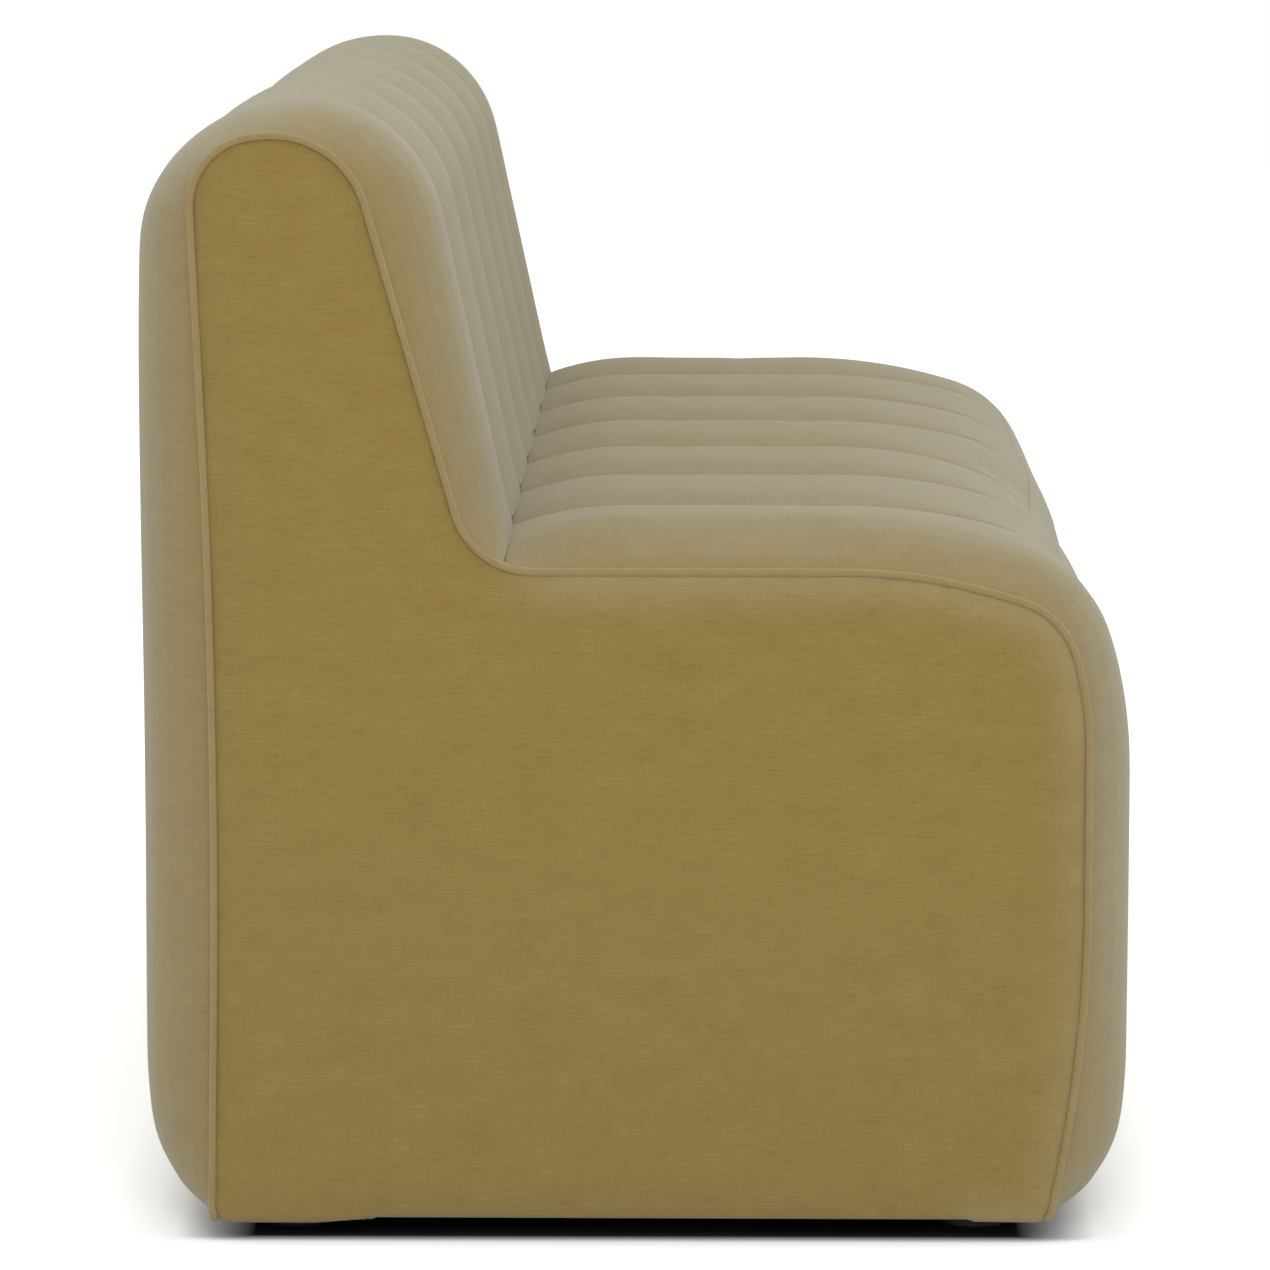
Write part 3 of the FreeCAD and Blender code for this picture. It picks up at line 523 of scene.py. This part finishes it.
def fillOut(piece, held, pressure, cap):
    group = piece.vertex_groups.new(name="held")
    group.add(held, 1.0, "REPLACE")
    before = [v.co.copy() for v in piece.data.vertices]
    cloth = piece.modifiers.new("fill", "CLOTH")
    cloth.point_cache.frame_start = 1
    cloth.point_cache.frame_end = fillFrames
    for key, value in fillCloth.items():
        setattr(cloth.settings, key, value)
    cloth.settings.uniform_pressure_force = pressure
    cloth.settings.effector_weights.gravity = 0.0
    cloth.collision_settings.use_collision = False
    for number in range(1, fillFrames + 1):
        scene.frame_set(number)
    filled = meshAsSeen(piece)
    for vert, start, end in zip(piece.data.vertices, before, filled.vertices):
        move = end.co - start
        vert.co = start + move * min(1.0, cap / max(move.length, 1e-9))
    piece.modifiers.clear()
    piece.vertex_groups.clear()
    bpy.data.meshes.remove(filled)
    scene.frame_set(1)


# the four covers: each is drawn as a side outline, run along the bench and rolled in to the piping
coverCloth = {
    "endLine": 0.6955,
    "outlineStep": 0.015,
    "column": 0.020,
    "columnsEachSide": 34,
    "rollWidth": 0.100,
    "rollPower": 2.2,
    "rollColumns": (0.02, 0.07, 0.14, 0.23, 0.34, 0.46, 0.60, 0.78),
    "thickness": 0.0035,
    "channelSeams": (-0.5, -0.3, -0.1, 0.1, 0.3, 0.5),
    "channelPitch": 0.200,
    "channelRelief": 0.0075,
    "channelPower": 2.3,
    "besideSeam": (0.0035, 0.0095),
    "fadeFrom": 0.010,
    "wave": 0.0011,
    "waveStretch": (5, 4, 4),
    "hem": (0.2985, 0.0156),
    "heldSeam": 0.0012,
    "heldEdge": 0.016,
    "heldEnd": 0.022,
    "pressure": 3.0,
    "cap": 0.0028,
    "fill": 0.8,
}
# dents: place along, depth, height, reach along, reach round, deepest
noseDents = [
    (-0.585, 0.322, 0.445, 0.060, 0.080, 0.0040),
    (-0.470, 0.322, 0.445, 0.085, 0.090, 0.0075),
    (-0.335, 0.322, 0.445, 0.125, 0.090, 0.0070),
    (-0.120, 0.322, 0.445, 0.130, 0.090, 0.0140),
    (0.200, 0.322, 0.445, 0.240, 0.090, 0.0030),
]
ridgeDents = [
    (0.0, -0.312, 0.778, 9.0, 0.100, 0.0075),
    (-0.435, -0.310, 0.780, 0.090, 0.110, 0.0012),
    (0.064, -0.310, 0.780, 0.140, 0.110, 0.0035),
]
nosePush = (-0.731, -0.682)
ridgePush = (0.500, -0.866)
# fades: reach and least share of the relief at each edge; tucked: length hidden in the crease at each edge
covers = {
    "seat_cover_cloth": {
        "node": "seat_cover",
        "channelled": True,
        "inside": (0.10, 0.40),
        "corners": [
            (-0.1130, 0.4560, 0.0),
            (-0.1065, 0.4764, 0.006),
            (-0.0497, 0.4990, 0.180),
            (0.2105, 0.4990, 0.470),
            (0.3017, 0.4711, 0.082),
            (0.31702, 0.45475, 0.0011),
            (0.31114, 0.44923, 0.0),
        ],
        "fades": [(0.060, 0.20), (0.200, 0.0)],
        "tucked": (0.041, 0.0),
        "dents": noseDents,
        "push": nosePush,
    },
    "inside_back_cover_cloth": {
        "node": "inside_back_cover",
        "channelled": True,
        "inside": (-0.22, 0.60),
        "corners": [
            (-0.24300, 0.7870, 0.0),
            (-0.24300, 0.7950, 0.0011),
            (-0.1545, 0.7950, 0.106),
            (-0.0870, 0.4822, 0.006),
            (-0.1180, 0.4720, 0.0),
        ],
        "fades": [(0.080, 0.0), (0.060, 0.20)],
        "tucked": (0.0, 0.031),
        "dents": ridgeDents,
        "push": ridgePush,
    },
    "outside_back_cover_cloth": {
        "node": "outside_back_cover",
        "channelled": False,
        "inside": (-0.25, 0.40),
        "corners": [
            (-0.2630, 0.0153, 0.0),
            (-0.3180, 0.0153, 0.028),
            (-0.3440, 0.0480, 0.085),
            (-0.3495, 0.1000, 0.350),
            (-0.3500, 0.7950, 0.100),
            (-0.24200, 0.7950, 0.0011),
            (-0.24200, 0.7870, 0.0),
        ],
        "fades": [(0.060, 0.0), (0.060, 0.0)],
        "tucked": (0.0, 0.0),
        "dents": ridgeDents,
        "push": ridgePush,
    },
    "front_cover_cloth": {
        "node": "front_cover",
        "channelled": False,
        "inside": (0.25, 0.30),
        "corners": [
            (0.31056, 0.44987, 0.0),
            (0.31642, 0.45541, 0.0011),
            (0.3317, 0.4390, 0.082),
            (0.3492, 0.3727, 0.380),
            (0.3495, 0.1000, 0.350),
            (0.3440, 0.0480, 0.085),
            (0.3165, 0.0153, 0.029),
            (0.2630, 0.0153, 0.0),
        ],
        "fades": [(0.060, 0.0), (0.060, 0.0)],
        "tucked": (0.0, 0.0),
        "dents": noseDents,
        "push": nosePush,
    },
}
creaseEnd = {"spot": (-0.0885, 0.4835), "sink": (-0.16, -0.37)}  # where tucked cloth goes behind the panel


def channelDip(x):
    pitch = coverCloth["channelPitch"]
    if abs(x) > coverCloth["channelSeams"][-1] + pitch / 2:
        return 0.0
    share = abs((x / pitch + 0.5) % 1.0 - 0.5) * 2
    return -coverCloth["channelRelief"] * share ** coverCloth["channelPower"]


def plainWave(place):
    along, deep, high = coverCloth["waveStretch"]
    return coverCloth["wave"] * noise.noise(Vector((place.x * along, place.y * deep, place.z * high)))


def dentMove(place, setting):
    deepest = 0.0
    for x, depth, height, wide, tall, deep in setting["dents"]:
        off = place - spot(depth, height, x)
        deepest += deep * math.exp(-(off.x / wide) ** 2 - (off.y ** 2 + off.z ** 2) / tall ** 2)
    return spot(*setting["push"]) * deepest


def coverColumns():
    count = coverCloth["columnsEachSide"]
    columns = [x * coverCloth["column"] for x in range(-count, count + 1)]
    rolled = [coverCloth["endLine"] - coverCloth["rollWidth"] * share for share in coverCloth["rollColumns"]]
    columns += rolled + [-x for x in rolled]
    for seam in coverCloth["channelSeams"]:
        for off in coverCloth["besideSeam"]:
            columns += [seam - off, seam + off]
    return columns


# the flat run of a cover along the bench, with the length along its outline kept on each vertex
def drawCover(bm, run, setting):
    end = coverCloth["endLine"]
    first, last = drawOutline(bm, setting["corners"], coverCloth["outlineStep"], -end)
    order = walk(first)
    for before, vert in zip(order, order[1:]):
        vert[run] = before[run] + (vert.co - before.co).length
    total = last[run]
    made = bmesh.ops.extrude_edge_only(bm, edges=bm.edges[:])["geom"]
    bmesh.ops.translate(bm, vec=(2 * end, 0, 0), verts=onlyVerts(made))
    inside = spot(*setting["inside"])
    bm.normal_update()
    if sum(f.normal.dot(f.calc_center_median() - inside) * f.calc_area() for f in bm.faces) < 0:
        bmesh.ops.reverse_faces(bm, faces=bm.faces[:])
    for x in coverColumns():
        bmesh.ops.bisect_plane(bm, geom=bm.verts[:] + bm.edges[:] + bm.faces[:], dist=1e-5,
                               plane_co=(x, 0, 0), plane_no=(1, 0, 0))
    bm.normal_update()
    return total


def linePlace(vert):
    return round(vert.co.y, 5), round(vert.co.z, 5)


# where each line along a cover ends at the piping
def coverEnds(bm, run, total, setting):
    hemDepth, hemHeight = coverCloth["hem"]
    startTuck, endTuck = setting["tucked"]
    ends = {}
    for vert in bm.verts:
        key = linePlace(vert)
        if key in ends:
            continue
        hidden = max(startTuck - vert[run], endTuck - total + vert[run])
        if vert.co.z < hemHeight and abs(vert.co.y) < hemDepth:
            ends[key] = Vector((0, vert.co.y, vert.co.z))
        elif hidden > 0:
            ends[key] = nearestOnPanel(spot(*creaseEnd["spot"])) + spot(*creaseEnd["sink"]) * hidden
        else:
            ends[key] = nearestOnPanel(vert.co)
    return ends


# channels or a slight wave, dents, and the roll to the piping
def shapeCover(bm, run, total, setting):
    ends = coverEnds(bm, run, total, setting)
    width = coverCloth["rollWidth"]
    shaped = []
    for vert in bm.verts:
        roll = max(0.0, abs(vert.co.x) - coverCloth["endLine"] + width) / width
        sink = min(1.0, roll) ** coverCloth["rollPower"]
        keep = 1.0
        for (reach, low), away in zip(setting["fades"], (vert[run], total - vert[run])):
            keep *= low + (1 - low) * easeIn((away - coverCloth["fadeFrom"]) / reach)
        lift = channelDip(vert.co.x) * keep if setting["channelled"] else plainWave(vert.co) * keep
        goal = vert.co + vert.normal * lift + dentMove(vert.co, setting)
        edge = ends[linePlace(vert)]
        shaped.append((vert, goal.lerp(Vector((vert.co.x, edge.y, edge.z)), sink)))
    for vert, goal in shaped:
        vert.co = goal


# seams and edges that stay put while a channelled cover fills out
def heldOnCover(piece, runs, total):
    held = []
    for vert, length in zip(piece.data.vertices, runs):
        onSeam = min(abs(vert.co.x - x) for x in coverCloth["channelSeams"]) < coverCloth["heldSeam"]
        onEdge = min(length, total - length) < coverCloth["heldEdge"]
        onEnd = abs(vert.co.x) > coverCloth["endLine"] - coverCloth["heldEnd"]
        if onSeam or onEdge or onEnd:
            held.append(vert.index)
    return held


def makeCover(name, setting):
    bm = bmesh.new()
    run = bm.verts.layers.float.new("run")
    total = drawCover(bm, run, setting)
    shapeCover(bm, run, total, setting)
    piece = newPiece(name, bm, "chenille_ochre")
    runs = [d.value for d in piece.data.attributes["run"].data]
    layCloth(piece, lambda vert: (vert.co.x, runs[vert.index], 0.0))
    if setting["channelled"]:
        fillOut(piece, heldOnCover(piece, runs, total), coverCloth["pressure"], coverCloth["cap"])
    wall = piece.modifiers.new("wall", "SOLIDIFY")
    wall.thickness = coverCloth["thickness"]
    wall.offset = -1.0
    smooth = piece.modifiers.new("smooth", "SUBSURF")
    smooth.levels = 1
    smooth.render_levels = 1
    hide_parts(setting["node"])
    print("cover", name, len(piece.data.polygons), "faces")
    return piece


coverPieces = {name: makeCover(name, setting) for name, setting in covers.items()}

# the thread of the channel seams, one small stitch after another
stitch = {"length": 0.0042, "pitch": 0.0062, "thick": 0.0007, "skip": 0.060, "sides": (6, 4)}


def seamLine(piece, seam):
    line = []
    for place, vert in zip(piece.data.attributes["clothPlace"].data, piece.data.vertices):
        if abs(place.vector.x - seam) < 1e-4:
            line.append((place.vector.y, vert.co.copy()))
    line.sort(key=lambda item: item[0])
    last = line[-1][0] - stitch["skip"]
    return [co for length, co in line if stitch["skip"] < length < last]


def sewChannels(name, piece):
    bm = bmesh.new()
    around, along = stitch["sides"]
    size = Matrix.Diagonal((stitch["thick"], stitch["thick"], stitch["length"], 1.0))
    for seam in coverCloth["channelSeams"]:
        line = seamLine(piece, seam)
        carried = 0.0
        for a, b in zip(line, line[1:]):
            way = (b - a).normalized()
            turn = way.to_track_quat("Z", "Y").to_matrix().to_4x4()
            while carried < (b - a).length:
                bmesh.ops.create_uvsphere(bm, u_segments=around, v_segments=along, radius=0.5,
                                          matrix=Matrix.Translation(a + way * carried) @ turn @ size)
                carried += stitch["pitch"]
            carried -= (b - a).length
    thread = newPiece(name, bm, "piping_ochre")
    layCloth(thread, lambda vert: vert.co)
    return thread


seatThread = sewChannels("seat_channel_thread", coverPieces["seat_cover_cloth"])
backThread = sewChannels("back_channel_thread", coverPieces["inside_back_cover_cloth"])
print("channel thread", len(seatThread.data.polygons) + len(backThread.data.polygons), "faces")

# piping round each end panel, cut on the bias and turned under at its ends
piping = {
    "x": 0.6977,
    "radius": 0.0025,
    "sides": 3,
    # the share of painted sheen, a pale grey added evenly along the whole cord
    "bloom": 0.45,
    "bias": 0.7,
    "underTurn": [(0.6964, 0.0146), (0.6930, 0.0136), (0.6870, 0.0132), (0.6680, 0.0130)],
}


def onBias(vert):
    bias = piping["bias"]
    return bias * (vert.co.y + vert.co.z), bias * (vert.co.z - vert.co.y), vert.co.x


def makePiping(name, node, side):
    route = bpy.data.curves.new(name, "CURVE")
    route.dimensions = "3D"
    route.bevel_depth = piping["radius"]
    route.bevel_resolution = piping["sides"]
    route.use_fill_caps = True
    line = route.splines.new("POLY")
    rear = [(x, pipedSpots[0].y, z) for x, z in reversed(piping["underTurn"])]
    front = [(x, pipedSpots[-1].y, z) for x, z in piping["underTurn"]]
    places = rear + [(piping["x"], place.y, place.z) for place in pipedSpots] + front
    line.points.add(len(places) - 1)
    for point, (x, y, z) in zip(line.points, places):
        point.co = (side * x, y, z, 1.0)
    draft = bpy.data.objects.new(name + "_route", route)
    mesh = bpy.data.meshes.new_from_object(draft)
    bpy.data.objects.remove(draft)
    bm = bmesh.new()
    bm.from_mesh(mesh)
    bpy.data.meshes.remove(mesh)
    bmesh.ops.remove_doubles(bm, verts=bm.verts[:], dist=1e-6)
    bmesh.ops.recalc_face_normals(bm, faces=bm.faces[:])
    piece = newPiece(name, bm, "piping_ochre")
    layCloth(piece, onBias)
    # painted sheen: the whole cord gets the painted pale grey
    paintSheen(piece, lambda place: piping["bloom"])
    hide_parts(node)


makePiping("piping_left_cord", "piping_left", 1.0)
makePiping("piping_right_cord", "piping_right", -1.0)
print("piping on both ends")

# flat end panels: cloth over wadding, filled out between the piping
endPanel = {
    "back": 0.6840,
    "face": 0.6979,
    "faceBand": 0.003,
    "outlineStep": 0.008,
    "voxel": 0.005,
    "pressure": 4.0,
    "cap": 0.0035,
    "fill": 0.7,
    "edge": 0.007,
    "lowEdge": 0.015,
    "tuck": 0.0018,
    # painted sheen on the panel: its reach from the piping, where it stops towards the rear, and how it thins
    # low on the front
    "paintedSheenReach": 0.040,
    "paintedSheenFrom": (0.120, 0.080),  # the rear limit of the pale edge, and how far it takes to come in
    "bloomFront": (0.55, 0.300, 0.120),  # its share low on the front, and where it rises to all of it
}


# painted sheen on the end panels: pale near the piping, full along the top, weaker low on the front, none
# towards the rear
def panelPaintedSheen(place):
    behind, over = endPanel["paintedSheenFrom"]
    least, height, rise = endPanel["bloomFront"]
    share = easeIn((behind - place.y) / over)
    share *= max(0.0, 1 - awayFromPiping(place) / endPanel["paintedSheenReach"]) ** 2
    return share * (least + (1 - least) * easeIn((place.z - height) / rise))


def finishPanel(piece, nodes):
    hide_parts(*nodes)
    print("end panel", piece.name, len(piece.data.polygons), "faces")


def makeEndPanel(name, nodes):
    bm = bmesh.new()
    first, last = drawOutline(bm, panelLine["corners"], endPanel["outlineStep"], endPanel["back"])
    bmesh.ops.contextual_create(bm, geom=[first, last])
    bmesh.ops.contextual_create(bm, geom=bm.edges[:])
    made = bmesh.ops.extrude_face_region(bm, geom=bm.faces[:])["geom"]
    bmesh.ops.translate(bm, vec=(endPanel["face"] - endPanel["back"], 0, 0), verts=onlyVerts(made))
    bmesh.ops.recalc_face_normals(bm, faces=bm.faces[:])
    piece = newPiece(name, bm, "chenille_ochre")
    voxelRemesh(piece, endPanel["voxel"], "chenille_ochre")
    held = []
    tucked = []
    for vert in piece.data.vertices:
        rim = awayFromPiping(vert.co) < endPanel["edge"]
        behind = vert.co.x < endPanel["face"] - endPanel["faceBand"]
        if behind or rim or vert.co.z < endPanel["lowEdge"] + endPanel["edge"]:
            held.append(vert.index)
        if rim:
            tucked.append((vert, Vector((0, vert.normal.y, vert.normal.z)) * endPanel["tuck"]))
    for vert, move in tucked:  # the raw edge goes under the piping
        vert.co += move
    fillOut(piece, held, endPanel["pressure"], endPanel["cap"])
    layCloth(piece, lambda vert: (vert.co.y, vert.co.z, 0.0))
    # painted sheen along the panel's piped edges
    paintSheen(piece, panelPaintedSheen)
    finishPanel(piece, nodes)
    return piece


def mirrorEndPanel(name, nodes, source):
    bm = bmesh.new()
    bm.from_mesh(source.data)
    bmesh.ops.scale(bm, vec=(-1, 1, 1), verts=bm.verts[:])
    bmesh.ops.reverse_faces(bm, faces=bm.faces[:])
    finishPanel(newPiece(name, bm, "chenille_ochre"), nodes)


leftPanel = makeEndPanel("end_panel_left", ("end_cover_left", "end_pad_left"))
mirrorEndPanel("end_panel_right", ("end_cover_right", "end_pad_right"), leftPanel)

# foam, felt and straps under the covers, softened from their nodes
softInside = {
    "seat_foam": {"slot": "foam", "voxel": 0.008, "fill": 0.95},
    "front_foam": {"slot": "foam", "voxel": 0.008, "fill": 0.95},
    "inside_back_foam": {"slot": "foam", "voxel": 0.008, "fill": 0.95},
    "outside_back_foam": {"slot": "foam", "voxel": 0.009, "fill": 0.95},
    "spring_felt": {"slot": "felt", "bevel": 0.0014},
    "back_webbing": {"slot": "webbing", "bevel": 0.0006},
}
softEnds = {"from": 0.580, "squeeze": 0.55}  # the foam is squeezed under the rolled ends of the covers


def softenNode(node, setting):
    bm = bmesh.new()
    bm.from_mesh(frame["nodes"][node].data)
    bmesh.ops.remove_doubles(bm, verts=bm.verts[:], dist=1e-5)
    piece = newPiece(node + "_soft", bm, setting["slot"])
    if "voxel" in setting:
        voxelRemesh(piece, setting["voxel"], setting["slot"])
        for vert in piece.data.vertices:
            over = max(0.0, abs(vert.co.x) - softEnds["from"])
            vert.co.x -= math.copysign(over * softEnds["squeeze"], vert.co.x)
    else:
        edges = piece.modifiers.new("edges", "BEVEL")
        edges.width = setting["bevel"]
        edges.segments = 2
        edges.limit_method = "ANGLE"
    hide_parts(node)
    return piece


softPieces = {node: softenNode(node, setting) for node, setting in softInside.items()}
print("soft inner pieces", len(softPieces))

# black cloth under the base, stapled round its edge and sagging a little
dustCloth = {
    "squares": (80, 32),
    "sag": 0.0025,
    "sagPowers": (8, 4),
    "pucker": 0.0008,
    "puckerStretch": 14,
    "puckerSlice": 0.3,
    "wall": 0.0006,
}


def makeDustCloth():
    low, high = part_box("dust_cover")
    size = (high - low) / 2
    middle = (high + low) / 2
    across, deep = dustCloth["squares"]
    acrossPower, deepPower = dustCloth["sagPowers"]
    stretch = dustCloth["puckerStretch"]
    bm = bmesh.new()
    bmesh.ops.create_grid(bm, x_segments=across, y_segments=deep, size=1.0)
    bmesh.ops.scale(bm, vec=(size.x, size.y, 1.0), verts=bm.verts[:])
    for vert in bm.verts:
        room = (1 - (vert.co.x / size.x) ** acrossPower) * (1 - (vert.co.y / size.y) ** deepPower)
        ripple = noise.noise(Vector((vert.co.x * stretch, vert.co.y * stretch, dustCloth["puckerSlice"])))
        vert.co.z = -room * (dustCloth["sag"] + dustCloth["pucker"] * ripple)
    bmesh.ops.translate(bm, vec=middle, verts=bm.verts[:])
    piece = newPiece("dust_cover_cloth", bm, "dust_cloth")
    wall = piece.modifiers.new("wall", "SOLIDIFY")
    wall.thickness = dustCloth["wall"]
    wall.offset = 0.0
    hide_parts("dust_cover")


makeDustCloth()
print("dust cloth under the base")

# floor and light: white to the camera, a painted shadow in the floor's own colour under the bench, plain
# light on the cloth
studio = {
    "worldLight": 0.72,
    "floorSize": 12.0,
    "floorShade": (0.687, 0.268, 9.0),
    "floorSoft": (1.0, 0.35, 0.0),
    # painted shadow: the floor's own colour goes dark under the bench's footprint
    "floorPaintedShadow": [(0.0, 0.03), (0.003, 0.14), (0.007, 0.90)],
    # camera-only glow of the floor: none under the bench, highest just beside it, where it lightens the
    # bench's own shadow on the floor
    "floorGlow": [(0.0, 0.0), (0.006, 0.22), (0.016, 0.46), (0.05, 0.58), (0.3, 0.53), (1.0, 0.50)],
    "floorReach": 2.5,
    "lamps": [
        ("topLamp", (0.0, -0.2, 3.0), (0.0, 0.0, 0.4), 2.6, 13.0),
        ("endLamp", (-3.6, -0.2, 2.0), (-0.7, 0.0, 0.4), 2.4, 30.0),
    ],
}
pureWhite = (1.0, 1.0, 1.0, 1.0)


def seenWhite(tree):
    path = addNode(tree, "ShaderNodeLightPath")
    seen = sums(tree, "MAXIMUM", path.outputs["Is Camera Ray"], path.outputs["Is Glossy Ray"])
    return sums(tree, "MAXIMUM", seen, path.outputs["Is Transmission Ray"])


def greys(stops):
    return [(place, (level, level, level)) for place, level in stops]


def makeWorld():
    world = bpy.data.worlds.new("studio")
    world.use_nodes = True
    scene.world = world
    tree = world.node_tree
    background = tree.nodes["Background"]
    background.inputs["Color"].default_value = pureWhite
    level = spread(tree, seenWhite(tree), studio["worldLight"], 1.0)
    tree.links.new(level, background.inputs["Strength"])


# how far a place on the floor lies outside the bench's footprint
def awayFromBench(tree):
    away = objectPlace(tree)
    steps = [
        ("ABSOLUTE", (0, 0, 0)),
        ("SUBTRACT", studio["floorShade"]),
        ("MAXIMUM", (0, 0, 0)),
        ("MULTIPLY", studio["floorSoft"]),
    ]
    for operation, against in steps:
        step = addNode(tree, "ShaderNodeVectorMath", {0: away, 1: against}, operation=operation)
        away = step.outputs["Vector"]
    far = addNode(tree, "ShaderNodeVectorMath", {0: away}, operation="LENGTH").outputs["Value"]
    return sums(tree, "DIVIDE", far, studio["floorReach"])


def makeFloor():
    bm = bmesh.new()
    bmesh.ops.create_grid(bm, x_segments=1, y_segments=1, size=studio["floorSize"])
    mesh = bpy.data.meshes.new("floor")
    bm.to_mesh(mesh)
    bm.free()
    floor = bpy.data.objects.new("floor", mesh)
    scene.collection.objects.link(floor)
    paint, tree, shader = startFinish("floorPaleWithPaintedShadow", 0.9, Specular_IOR_Level=0.0)
    share = awayFromBench(tree)
    # painted shadow: the floor's base colour is dark under the bench
    tree.links.new(shades(tree, share, greys(studio["floorPaintedShadow"])), shader.inputs["Base Color"])
    rise = shades(tree, share, greys(studio["floorGlow"]))
    glow = sums(tree, "MULTIPLY", seenWhite(tree), rise)
    shader.inputs["Emission Color"].default_value = pureWhite
    tree.links.new(glow, shader.inputs["Emission Strength"])
    mesh.materials.append(paint)


def makeLamps():
    for name, place, aim, size, power in studio["lamps"]:
        light = bpy.data.lights.new(name, "AREA")
        light.size = size
        light.energy = power
        lamp = bpy.data.objects.new(name, light)
        lamp.location = place
        lamp.rotation_euler = (Vector(aim) - Vector(place)).to_track_quat("-Z", "Y").to_euler()
        scene.collection.objects.link(lamp)


# the camera looks along the bench from one end, a little from above
photoCamera = {
    "sensor": 36.0,
    "lens": 169.2,
    "clipEnd": 60.0,
    "place": (-4.7788, -0.0366, 0.9913),
    "forward": (0.9905, 0.0089, -0.1369),
    "right": (0.0090, -1.0, 0.0),
}


def makeCamera():
    data = bpy.data.cameras.new("photoCamera")
    data.sensor_width = photoCamera["sensor"]
    data.lens = photoCamera["lens"]
    data.clip_end = photoCamera["clipEnd"]
    camera = bpy.data.objects.new("photoCamera", data)
    right = Vector(photoCamera["right"]).normalized()
    forward = Vector(photoCamera["forward"]).normalized()
    up = right.cross(forward)
    turn = Matrix((right, up, -forward)).transposed().to_4x4()
    camera.matrix_world = Matrix.Translation(photoCamera["place"]) @ turn
    scene.collection.objects.link(camera)
    scene.camera = camera


scene.view_settings.view_transform = "Standard"
makeWorld()
makeFloor()
makeLamps()
makeCamera()
print("studio and camera")
